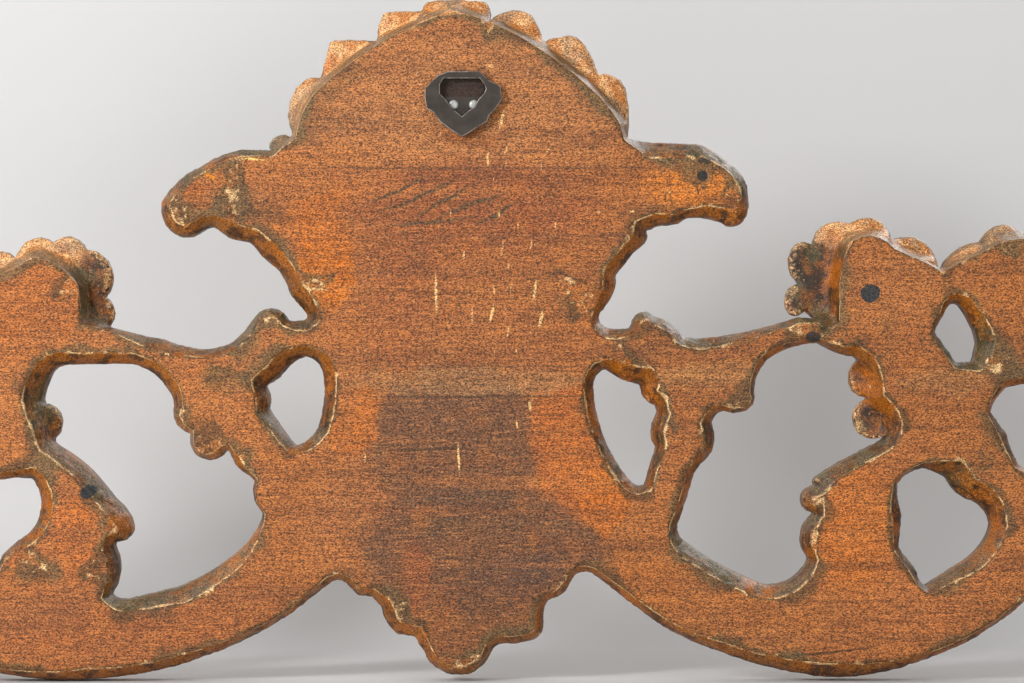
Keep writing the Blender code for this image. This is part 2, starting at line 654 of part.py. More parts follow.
def front_points():
    scatter = Scatter(FRONT_POINT_SPACING)
    for outline in edge_loops:
        for point in outline:
            scatter.add(point, 0)
    hinge = on_panel(SHELL_HINGE)[0]
    features = [hinge]
    for half_step in range(-8, 9):
        angle = math.radians(SHELL_FLUTE_DEGREES) * half_step / 2
        for share in FLUTE_POINT_SHARES:
            radius = share * SHELL_RADIUS_PIXELS * PHOTO_PIXEL
            features.append(hinge + (radius * math.sin(angle), radius * math.cos(angle)))
    for flower in FLOWERS:
        reach = flower[2] * PHOTO_PIXEL
        features += ring(flower[:2], (0.001, BOSS_RADIUS * 0.9, reach * 0.5, reach * 0.85), 10)
    for volute in VOLUTES:
        features += ring(volute, (0.001, VOLUTE_RADIUS * 0.5, VOLUTE_RADIUS), 10)
    tall = CARTOUCHE_HALF_HEIGHT / CARTOUCHE_HALF_WIDTH
    radii = [share * CARTOUCHE_HALF_WIDTH for share in CARTOUCHE_RING_SHARES]
    features += ring(CARTOUCHE_CENTRE, radii, 2 * LEAVES_ROUND_CARTOUCHE, tall)
    spacings = [np.full(len(outline), RIM_OFFSET) for outline in edge_loops]
    crest_line = offset_points(edge_loops, spacings)[:, :2]
    distance, _ = nearest(crest_line, edge_loops)
    crest_line = crest_line[in_wood(crest_line) & (distance > 0.8 * RIM_OFFSET)]
    for point in clear_of_edge(features, 0.003):
        scatter.add(point, FRONT_POINT_SPACING)
    for point in crest_line:
        scatter.add(point, 1.5 * FRONT_POINT_SPACING)
    for point in clear_of_edge(honeycomb(FRONT_FILL_SPACING), 0.005):
        scatter.add(point, 0.6 * FRONT_FILL_SPACING)
    return scatter.points


def face_of_panel(points, height, nail_circles=()):
    """One side of the panel: triangles over its points, bounded by the silhouette loops."""
    loops = []
    start = 0
    for outline in edge_loops:
        loops.append(list(range(start, start + len(outline))))
        start += len(outline)
    points = list(points)
    for circle in nail_circles:
        loops.append(list(range(len(points), len(points) + len(circle))))
        points += [tuple(point) for point in circle]

    def wanted(centres):
        found = inside(centres, edge_loops[outer])
        for number, outline in enumerate(edge_loops):
            if number != outer:
                found &= ~inside(centres, outline)
        for circle in nail_circles:
            found &= ~inside(centres, circle)
        return found

    outer = max(range(len(edge_loops)), key=lambda number: np.ptp(edge_loops[number][:, 0]))
    vertices, triangles = triangulate(points, loops)
    triangles = kept(vertices, triangles, wanted)
    return vertices, triangles, height(vertices)


def mesh_object(name, mesh_data, finish):
    """An object with its own material; the finish is its colour, roughness and metallic value."""
    colour, roughness, metallic = finish
    mesh = bpy.data.meshes.new(name)
    mesh_data.to_mesh(mesh)
    mesh_data.free()
    piece = bpy.data.objects.new(name, mesh)
    bpy.context.scene.collection.objects.link(piece)
    material = bpy.data.materials.new(name)
    material.use_nodes = True
    shader = material.node_tree.nodes["Principled BSDF"]
    shader.inputs["Base Color"].default_value = (*colour, 1)
    shader.inputs["Roughness"].default_value = roughness
    shader.inputs["Metallic"].default_value = metallic
    mesh.materials.append(material)
    return piece


def circle_points(centre, radius, count):
    middle = on_panel(centre)[0]
    angles = [2 * math.pi * step / count for step in range(count)]
    points = [middle + (radius * math.cos(angle), radius * math.sin(angle)) for angle in angles]
    return np.round(np.array(points), SHARED_POINT_DIGITS)


def carved_panel():
    """The one carved and pierced board: flat back, bevelled edges, relief front."""
    bore_radius = NAIL_SHANK_RADIUS + GAP
    nail_bores = [circle_points(place, bore_radius, BORE_SIDES) for place in NAILS.values()]
    data = bmesh.new()

    def key(x, z):
        return round(x * 10 ** SHARED_POINT_DIGITS), round(z * 10 ** SHARED_POINT_DIGITS)

    sides = {}
    for label, points, height, bores in (
        ("back", back_points(), back_depth, nail_bores),
        ("front", front_points(), front_thickness, ()),
    ):
        vertices, triangles, depth = face_of_panel(points, height, bores)
        used = {}
        by_place = {}
        for triangle in triangles:
            for place in triangle:
                if place not in used:
                    x, z = vertices[place]
                    used[place] = data.verts.new((x, BACK_PLANE_Y - depth[place], z))
                    by_place[key(x, z)] = used[place]
            data.faces.new([used[place] for place in triangle])
        sides[label] = by_place
    for outline in edge_loops:
        for index, point in enumerate(outline):
            after = outline[(index + 1) % len(outline)]
            ring_corners = [
                sides["back"][key(*point)], sides["back"][key(*after)],
                sides["front"][key(*after)], sides["front"][key(*point)],
            ]
            data.faces.new(ring_corners)
    bore_depth = BACK_PLANE_Y - NAIL_SHANK_LENGTH
    for circle in nail_bores:
        mouth = [sides["back"][key(*point)] for point in circle]
        floor = [data.verts.new((point[0], bore_depth, point[1])) for point in circle]
        for index in range(len(circle)):
            after = (index + 1) % len(circle)
            data.faces.new([mouth[index], mouth[after], floor[after], floor[index]])
        data.faces.new(floor)
    bmesh.ops.triangulate(data, faces=data.faces)
    bmesh.ops.recalc_face_normals(data, faces=data.faces)
    return mesh_object("carved_panel", data, WOOD_FINISH)


def prism(name, outline, low, high):
    """A closed solid of one outline between two depths, both given as y."""
    data = bmesh.new()
    corners = [data.verts.new((x, low, z)) for x, z in outline]
    face = data.faces.new(corners)
    grown = bmesh.ops.extrude_face_region(data, geom=[face])
    moved = [item for item in grown["geom"] if isinstance(item, bmesh.types.BMVert)]
    bmesh.ops.translate(data, verts=moved, vec=(0, high - low, 0))
    bmesh.ops.recalc_face_normals(data, faces=data.faces)
    return mesh_object(name, data, PLATE_FINISH)


def shrunk(outline, amount):
    """The outline moved inwards by one amount, corner by corner."""
    before = np.roll(outline, 1, axis=0)
    after = np.roll(outline, -1, axis=0)
    area = np.sum(outline[:, 0] * after[:, 1] - after[:, 0] * outline[:, 1]) / 2
    turn = math.copysign(1, area)
    corners = []
    for previous, corner, following in zip(before, outline, after):
        first = (corner - previous) / math.dist(corner, previous)
        second = (following - corner) / math.dist(following, corner)
        inward = np.array((-first[1] - second[1], first[0] + second[0])) * turn
        inward /= np.linalg.norm(inward)
        facing = max(0.5, float(np.dot(inward, np.array((-first[1], first[0])) * turn)))
        corners.append(corner + inward * amount / facing)
    return np.array(corners)


def cut_from(piece, cutter):
    cutter.hide_render = True
    cutter.display_type = "WIRE"
    cut = piece.modifiers.new(cutter.name, "BOOLEAN")
    cut.operation = "DIFFERENCE"
    cut.solver = "EXACT"
    cut.object = cutter


def hanger_plate():
    """Pressed steel: a raised face with the hanging opening, a turned-down rim and a nailed back leaf."""
    outline = on_panel(PLATE_OUTLINE)
    pocket = shrunk(outline, PLATE_RIM_WIDTH)
    plate = prism("hanger_plate", outline, -PLATE_PROUD, 0.0)
    leaf_face = -PLATE_PROUD + PLATE_LEAF_THICKNESS
    cut_from(plate, prism("pocket_cutter", pocket, leaf_face, -PLATE_FACE_THICKNESS))
    opening = on_panel(PLATE_OPENING)
    opening_floor = -PLATE_FACE_THICKNESS - CUTTER_OVERLAP
    cut_from(plate, prism("opening_cutter", opening, opening_floor, CUTTER_REACH))
    leaf_cut = (-PLATE_PROUD - CUTTER_REACH, leaf_face + CUTTER_OVERLAP)
    leaf_top = on_panel((0, LEAF_TOP_PIXEL_Y))[0][1]
    above = [tuple(point) for point in pocket if point[1] > leaf_top]
    window = [(above[0][0], leaf_top)] + above + [(above[-1][0], leaf_top)]
    cut_from(plate, prism("window_cutter", window, *leaf_cut))
    for name, place in NAILS.items():
        bore = circle_points(place, NAIL_SHANK_RADIUS + GAP, BORE_SIDES)
        cut_from(plate, prism(name + "_bore_cutter", bore, *leaf_cut))
    return plate


def nail(name, place):
    """A round steel nail: domed head on the plate's leaf, shank through it into the wood."""
    data = bmesh.new()
    head_under = -PLATE_PROUD + PLATE_LEAF_THICKNESS + GAP
    tip = BACK_PLANE_Y - NAIL_SHANK_LENGTH + 2 * GAP
    profile = [
        (0.0, head_under + NAIL_HEAD_THICKNESS),
        (0.7 * NAIL_HEAD_RADIUS, head_under + 0.8 * NAIL_HEAD_THICKNESS),
        (NAIL_HEAD_RADIUS, head_under + 0.3 * NAIL_HEAD_THICKNESS),
        (NAIL_HEAD_RADIUS, head_under),
        (NAIL_SHANK_RADIUS, head_under),
        (NAIL_SHANK_RADIUS, tip + NAIL_POINT_LENGTH),
        (0.0, tip),
    ]
    vertices = [data.verts.new((radius, y, 0)) for radius, y in profile]
    edges = [data.edges.new(pair) for pair in zip(vertices, vertices[1:])]
    bmesh.ops.spin(
        data, geom=vertices + edges, cent=(0, 0, 0), axis=(0, 1, 0), angle=2 * math.pi, steps=NAIL_SIDES,
        use_merge=True, use_duplicate=False,
    )
    bmesh.ops.remove_doubles(data, verts=data.verts, dist=1e-6)
    x, z = on_panel(place)[0]
    bmesh.ops.translate(data, verts=data.verts, vec=(x, 0, z))
    bmesh.ops.recalc_face_normals(data, faces=data.faces)
    return mesh_object(name, data, NAIL_FINISH)


carved_panel()
hanger_plate()
for nail_name, nail_place in NAILS.items():
    nail(nail_name, nail_place)
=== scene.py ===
"""Looks of a carved overdoor panel, seen from behind: aged board, gouge-cut edges and steel hanger."""
import math

import bmesh
import bpy
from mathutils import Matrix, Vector, kdtree, noise


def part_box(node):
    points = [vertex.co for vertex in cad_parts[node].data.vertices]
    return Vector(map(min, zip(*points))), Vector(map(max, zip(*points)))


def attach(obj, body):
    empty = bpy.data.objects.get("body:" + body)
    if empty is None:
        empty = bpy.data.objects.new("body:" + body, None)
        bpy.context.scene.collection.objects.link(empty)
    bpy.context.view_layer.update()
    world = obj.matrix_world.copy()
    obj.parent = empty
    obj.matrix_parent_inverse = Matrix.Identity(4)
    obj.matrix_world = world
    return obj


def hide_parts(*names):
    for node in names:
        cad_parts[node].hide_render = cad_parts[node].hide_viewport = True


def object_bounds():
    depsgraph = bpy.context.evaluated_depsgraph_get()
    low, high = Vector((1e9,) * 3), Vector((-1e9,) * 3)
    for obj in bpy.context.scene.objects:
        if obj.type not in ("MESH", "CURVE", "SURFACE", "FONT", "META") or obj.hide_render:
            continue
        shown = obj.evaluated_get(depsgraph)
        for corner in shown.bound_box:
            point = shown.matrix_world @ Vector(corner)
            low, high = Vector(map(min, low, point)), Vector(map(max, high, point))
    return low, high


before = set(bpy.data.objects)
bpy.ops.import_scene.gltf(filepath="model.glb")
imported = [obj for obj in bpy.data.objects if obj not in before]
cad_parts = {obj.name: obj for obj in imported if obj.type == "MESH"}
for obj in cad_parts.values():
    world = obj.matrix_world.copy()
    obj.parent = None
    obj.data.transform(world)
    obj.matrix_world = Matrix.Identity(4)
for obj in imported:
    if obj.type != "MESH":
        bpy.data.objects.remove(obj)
cad_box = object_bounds()

# The carved panel is one board of pale-cored wood, sawn and pierced, carved in relief on its front.
# Its back is left flat from the plane, with every edge cut away by gouge so that it looks thin.
# It carries the hanger plate on its back, and nothing else holds it.
PIXEL = 0.0005
ORIGIN_PIXEL = (462.0, 126.0)
BACK_Y = -0.0043
CARVING_START = 0.0215
CARVED_DEPTH = CARVING_START + 0.001
FLAT_EDGE = 0.012
ARRIS_EDGE = 0.0032
BEVEL_EDGE = 0.0024
WALL_EDGE = 0.0040
FRONT_EDGE = 0.0038
BEVEL_REACH = 0.011
LEVEL_NORMAL = 0.9995
LEVEL_REACH = 0.00002
WELD = 0.000001
EDGE_DEPTH = 0.022
EDGE_DEPTH_REACH = 0.0003
RELAX_ROUNDS = 7
CHIP_DEPTH = 0.0007
GOUGE_DEPTH = 0.00075
GOUGE_PER_METRE = 150.0
PLANE_WAVE = 0.00005


def back_view(x, y):
    """A place in the straight view of the back, in its pixels, as (x, z) in metres."""
    return (ORIGIN_PIXEL[0] - x) * PIXEL, (ORIGIN_PIXEL[1] - y) * PIXEL


def finished_object(name, data):
    """A bmesh as an object at the origin, in the scene's own collection."""
    mesh = bpy.data.meshes.new(name)
    data.to_mesh(mesh)
    data.free()
    made = bpy.data.objects.new(name, mesh)
    bpy.context.scene.collection.objects.link(made)
    return made


def split_long_edges(data, limit, rounds):
    """Halve every edge longer than its limit until none is left, keeping triangles."""
    for _ in range(rounds):
        data.normal_update()
        long_edges = [edge for edge in data.edges if edge.calc_length() > limit(edge)]
        if not long_edges:
            return
        bmesh.ops.subdivide_edges(data, edges=long_edges, cuts=1)
        wide = [face for face in data.faces if len(face.verts) > 3]
        bmesh.ops.triangulate(data, faces=wide)


def lies_flat(face):
    return face.normal.y > LEVEL_NORMAL and abs(face.verts[0].co.y - BACK_Y) < LEVEL_REACH


def panel_edge_limit(edge):
    if all(lies_flat(face) for face in edge.link_faces):
        beside_cut = not all(lies_flat(face) for vertex in edge.verts for face in vertex.link_faces)
        return ARRIS_EDGE if beside_cut else FLAT_EDGE
    depth = BACK_Y - min(vertex.co.y for vertex in edge.verts)
    if depth > CARVED_DEPTH:
        return FRONT_EDGE
    return BEVEL_EDGE if depth < BEVEL_REACH else WALL_EDGE


panel = bmesh.new()
panel.from_mesh(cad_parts["carved_panel"].data)
bmesh.ops.remove_doubles(panel, verts=panel.verts, dist=WELD)
split_long_edges(panel, panel_edge_limit, 8)
panel.normal_update()

# Behind the shell the flat runs to within a chisel's width of its edge, with no long slope.
SHELL_FLAT_LOW = back_view(0, 66)[1]
SHELL_FLAT_SIDES = (back_view(580, 0)[0], back_view(330, 0)[0])
STEP_FOOT = 0.0030
STEP_REACH = 0.0024
behind_shell = [v for v in panel.verts if v.co.z > SHELL_FLAT_LOW
                and SHELL_FLAT_SIDES[0] < v.co.x < SHELL_FLAT_SIDES[1] and v.normal.y > 0.1]
step_feet = [v for v in behind_shell if BACK_Y - v.co.y > STEP_FOOT]
foot_tree = kdtree.KDTree(len(step_feet))
for number, vertex in enumerate(step_feet):
    foot_tree.insert((vertex.co.x, 0.0, vertex.co.z), number)
foot_tree.balance()
for vertex in behind_shell:
    near_foot = foot_tree.find((vertex.co.x, 0.0, vertex.co.z))[2]
    if BACK_Y - vertex.co.y < STEP_FOOT and near_foot > STEP_REACH:
        vertex.co.y = BACK_Y
panel.normal_update()

edge_line = [v for v in panel.verts if abs(BACK_Y - v.co.y - EDGE_DEPTH) < EDGE_DEPTH_REACH]
outline_tree = kdtree.KDTree(len(edge_line))
for number, vertex in enumerate(edge_line):
    outline_tree.insert((vertex.co.x, 0.0, vertex.co.z), number)
outline_tree.balance()

flat_vertices = {v for v in panel.verts if abs(v.co.y - BACK_Y) < LEVEL_REACH}
arris = {v for v in flat_vertices if not all(lies_flat(face) for face in v.link_faces)}
arris_places = [vertex.co.copy() for vertex in arris]
front_vertices = [v for v in panel.verts if BACK_Y - v.co.y > CARVED_DEPTH and v.normal.y < -0.1]
cut_vertices = [v for v in panel.verts if v not in flat_vertices]
for _ in range(RELAX_ROUNDS):
    bmesh.ops.smooth_vert(panel, verts=front_vertices, factor=0.5, use_axis_y=True)
for _ in range(2):
    bmesh.ops.smooth_vert(
        panel, verts=cut_vertices, factor=0.4, use_axis_x=True, use_axis_y=True, use_axis_z=True)
panel.normal_update()

SHELL_HINGE = back_view(456, 150)
SHELL_REACH = 172 * PIXEL
SHELL_STEP = math.radians(24.4)
FLOWERS = [(back_view(852, 297), 0.028), (back_view(1042, 302), 0.031),
           (back_view(48, 304), 0.029), (back_view(-130, 302), 0.031)]
CARTOUCHE = back_view(456, 385)
CARTOUCHE_HALF = (0.040, 0.050)


# The finer cuts of the front: a groove and a rope inside the rim, ribs between the flutes, veined
# petals with seeds in the middle, and a beaded frame with ribbed leaves round the cartouche.
GROOVE_OFFSET = 0.0118
GROOVE_WIDTH = 0.0009
GROOVE_DEPTH = 0.0009
ROPE_OFFSET = 0.0062
ROPE_WIDTH = 0.003
ROPE_STEP = 0.0075
ROPE_HEIGHT = 0.0004
RIBS_IN_A_FLUTE = 3
RIB_HEIGHT = 0.00055
VALLEY_DEPTH = 0.0012
PETALS = 5
PETAL_VEINS = 30
PETAL_VEIN_HEIGHT = 0.00045
PETAL_GAP_DEPTH = 0.0014
SEED_HEIGHT = 0.0004
BEADS = 36
BEAD_HEIGHT = 0.0012
FRAME_GROOVE_INSIDE = 0.0010
FRAME_GROOVE_OUTSIDE = 0.0009
LEAF_RIBS = 56
LEAF_RIB_HEIGHT = 0.0007


def bump(value, centre, width):
    return math.exp(-((value - centre) / width) ** 2)


def fine_carving(x, z):
    """How far the finer cuts of the front stand up or sink in, at a place on it."""
    distance = outline_tree.find((x, 0.0, z))[2]
    lift = -GROOVE_DEPTH * bump(distance, GROOVE_OFFSET, GROOVE_WIDTH)
    twist = math.cos(2 * math.pi * (x + 0.8 * z) / ROPE_STEP)
    lift += ROPE_HEIGHT * bump(distance, ROPE_OFFSET, ROPE_WIDTH) * twist
    dx = x - SHELL_HINGE[0]
    dz = z - SHELL_HINGE[1]
    reach = math.hypot(dx, dz) / SHELL_REACH
    angle = math.atan2(dx, dz)
    if reach < 1.1 and abs(angle) < math.radians(98):
        ribs = math.cos(angle * 2 * math.pi / SHELL_STEP * RIBS_IN_A_FLUTE)
        lift += RIB_HEIGHT * ribs * min(1.0, max(0.0, reach - 0.25) * 3)
        from_valley = abs((angle / SHELL_STEP) % 1.0 - 0.5)
        lift -= VALLEY_DEPTH * bump(from_valley, 0.0, 0.045) * min(1, reach)
    for (centre_x, centre_z), size in FLOWERS:
        radius = math.hypot(x - centre_x, z - centre_z)
        if radius < 1.15 * size:
            turn = math.atan2(x - centre_x, z - centre_z)
            veins = math.cos(PETAL_VEINS * turn) * bump(radius, 0.65 * size, 0.25 * size)
            gaps = bump(math.cos(PETALS * turn), -1.0, 0.12) * (radius > 0.3 * size)
            lift += PETAL_VEIN_HEIGHT * veins - PETAL_GAP_DEPTH * gaps
            seeds = math.cos(radius * 2600) * math.cos(12 * turn)
            lift += SEED_HEIGHT * seeds * (radius < 0.26 * size)
    u = (x - CARTOUCHE[0]) / CARTOUCHE_HALF[0]
    v = (z - CARTOUCHE[1]) / CARTOUCHE_HALF[1]
    ring = math.hypot(u, v)
    if ring < 2.4:
        turn = math.atan2(u, v)
        lift += BEAD_HEIGHT * bump(ring, 1.1, 0.07) * math.cos(BEADS * turn)
        lift -= FRAME_GROOVE_INSIDE * bump(ring, 0.95, 0.03) + FRAME_GROOVE_OUTSIDE * bump(ring, 1.27, 0.035)
        lift += LEAF_RIB_HEIGHT * bump(ring, 1.65, 0.3) * math.cos(LEAF_RIBS * turn)
    return lift


FRONT_WANDER = 0.00035
FRONT_TOOL_MARKS = 0.00012
for vertex in panel.verts:
    place = vertex.co.copy()
    if vertex in arris:
        chip = noise.noise(place * 170) + 0.6 * noise.noise(place * 420)
        vertex.co.y -= CHIP_DEPTH * max(0.0, chip)
    elif vertex in flat_vertices:
        vertex.co.y -= PLANE_WAVE * (1 + noise.noise(Vector((place.x * 12, 0, place.z * 90))))
    elif vertex.normal.y < -0.3 and BACK_Y - place.y > CARVING_START:
        wander = noise.noise(place * 55) * FRONT_WANDER + noise.noise(place * 260) * FRONT_TOOL_MARKS
        vertex.co.y -= fine_carving(place.x, place.z) + wander
    else:
        scoop = abs(noise.noise(place * GOUGE_PER_METRE)) + 0.5 * noise.noise(place * 3.1 * GOUGE_PER_METRE)
        vertex.co -= vertex.normal * GOUGE_DEPTH * scoop
low, high = Vector(cad_box[0]), Vector(cad_box[1])
for vertex in panel.verts:
    for axis in range(3):
        vertex.co[axis] = min(max(vertex.co[axis], low[axis]), high[axis])
panel.normal_update()

carving = finished_object("carved_panel_wood", panel)
carving.data.shade_smooth()
carving.data.set_sharp_from_angle(angle=math.radians(42))


def store_shape(mesh):
    """Keeps, at each vertex, how far it stands proud of its neighbours."""
    count = len(mesh.vertices)
    total = [Vector((0, 0, 0)) for _ in range(count)]
    length = [0.0] * count
    links = [0] * count
    for edge in mesh.edges:
        a, b = edge.vertices
        across = mesh.vertices[b].co - mesh.vertices[a].co
        total[a] += across
        total[b] -= across
        span = across.length
        length[a] += span
        length[b] += span
        links[a] += 1
        links[b] += 1
    proud = [0.0] * count
    for index, vertex in enumerate(mesh.vertices):
        if length[index]:
            proud[index] = -total[index].dot(vertex.normal) / length[index]
    for _ in range(2):
        summed = list(proud)
        for edge in mesh.edges:
            a, b = edge.vertices
            summed[a] += proud[b]
            summed[b] += proud[a]
        proud = [value / (links[index] + 1) for index, value in enumerate(summed)]
    stored = mesh.attributes.new("proud", "FLOAT", "POINT")
    stored.data.foreach_set("value", proud)


store_shape(carving.data)
arris_tree = kdtree.KDTree(len(arris_places))
for number, spot in enumerate(arris_places):
    arris_tree.insert(spot, number)
arris_tree.balance()
to_arris = carving.data.attributes.new("to_arris", "FLOAT", "POINT")
to_arris.data.foreach_set("value", [arris_tree.find(v.co)[2] for v in carving.data.vertices])


def linear(colour):
    """An sRGB hex colour as linear red, green, blue and full opacity."""
    values = [int(colour[place:place + 2], 16) / 255 for place in (1, 3, 5)]
    turned = [value / 12.92 if value <= 0.04045 else ((value + 0.055) / 1.055) ** 2.4 for value in values]
    return (*turned, 1.0)


def add_node(material, kind, inputs=None, **settings):
    """A shader node with its settings; each input is a plain value or another node's output."""
    tree = material.node_tree
    made = tree.nodes.new(kind)
    for name, value in settings.items():
        setattr(made, name, value)
    for name, value in (inputs or {}).items():
        if isinstance(value, bpy.types.NodeSocket):
            tree.links.new(value, made.inputs[name])
        else:
            made.inputs[name].default_value = value
    return made


def new_material(name):
    material = bpy.data.materials.new(name)
    material.use_nodes = True
    return material, material.node_tree.nodes["Principled BSDF"]


# Old limewood with a worn stain: planed bare on the back, dark varnish run into the gouged edges,
# brown stain and wax on the carved front, rubbed through to the pale wood on the high places; painted shade,
# light and highlights lie in the cuts and edges.
old_wood, wood_shader = new_material("aged_stained_limewood")


def math_node(operation, first, second=0.0, third=0.0, clamp=False):
    return add_node(
        old_wood, "ShaderNodeMath", {0: first, 1: second, 2: third}, operation=operation,
        use_clamp=clamp).outputs[0]


def mixed(share, below, above):
    """One colour over another by a share from 0 to 1."""
    return add_node(
        old_wood, "ShaderNodeMix", {"Factor": share, 6: below, 7: above}, data_type="RGBA").outputs[2]


def stepped(value, start, end, low=0.0, high=1.0):
    return add_node(
        old_wood, "ShaderNodeMapRange",
        {"Value": value, "From Min": start, "From Max": end, "To Min": low, "To Max": high},
        interpolation_type="SMOOTHSTEP").outputs[0]


def speckle(vector, scale, detail=4.0, roughness=0.6, **settings):
    return add_node(
        old_wood, "ShaderNodeTexNoise",
        {"Vector": vector, "Scale": scale, "Detail": detail, "Roughness": roughness}, **settings).outputs[0]


def stretched(vector, scale):
    return add_node(old_wood, "ShaderNodeMapping", {"Vector": vector, "Scale": scale}).outputs[0]


place = add_node(old_wood, "ShaderNodeTexCoord").outputs["Object"]
parts = add_node(old_wood, "ShaderNodeSeparateXYZ", {0: place})
depth = math_node("MULTIPLY_ADD", parts.outputs["Y"], -1.0, BACK_Y)
facing = add_node(
    old_wood, "ShaderNodeSeparateXYZ", {0: add_node(old_wood, "ShaderNodeNewGeometry").outputs["Normal"]})
proud = add_node(old_wood, "ShaderNodeAttribute", attribute_name="proud").outputs["Fac"]

warp = add_node(
    old_wood, "ShaderNodeTexNoise", {"Vector": place, "Scale": 60.0, "Detail": 4.0, "Roughness": 0.65})
warp_centred = add_node(
    old_wood, "ShaderNodeVectorMath", {0: warp.outputs["Color"], 1: (0.5, 0.5, 0.5)}, operation="SUBTRACT")


def wandering(amount):
    """The place on the wood, moved about by up to a share of the given length."""
    moved = add_node(
        old_wood, "ShaderNodeVectorMath", {0: warp_centred.outputs[0], "Scale": amount}, operation="SCALE")
    return add_node(
        old_wood, "ShaderNodeVectorMath", {0: place, 1: moved.outputs[0]}, operation="ADD").outputs[0]


ragged = wandering(0.016)
nearly_straight = wandering(0.003)


def patch(x, y, half_x, half_y, turn=0.0, soft=0.3, strength=1.0, ground=None):
    """A share from 0 to 1 inside an oval, given in pixels of the back view, with a soft edge."""
    centre_x, centre_z = back_view(x, y)
    local = add_node(old_wood, "ShaderNodeMapping", {
        "Vector": ragged if ground is None else ground,
        "Location": (centre_x, 0.0, centre_z),
        "Rotation": (0.0, math.radians(turn), 0.0),
        "Scale": (2 * half_x * PIXEL, 2.0, 2 * half_y * PIXEL),
    }, vector_type="TEXTURE").outputs[0]
    ball = add_node(
        old_wood, "ShaderNodeTexGradient", {"Vector": local}, gradient_type="SPHERICAL").outputs["Fac"]
    return stepped(ball, 0.5 - soft / 2, 0.5 + soft / 2, 0.0, strength)
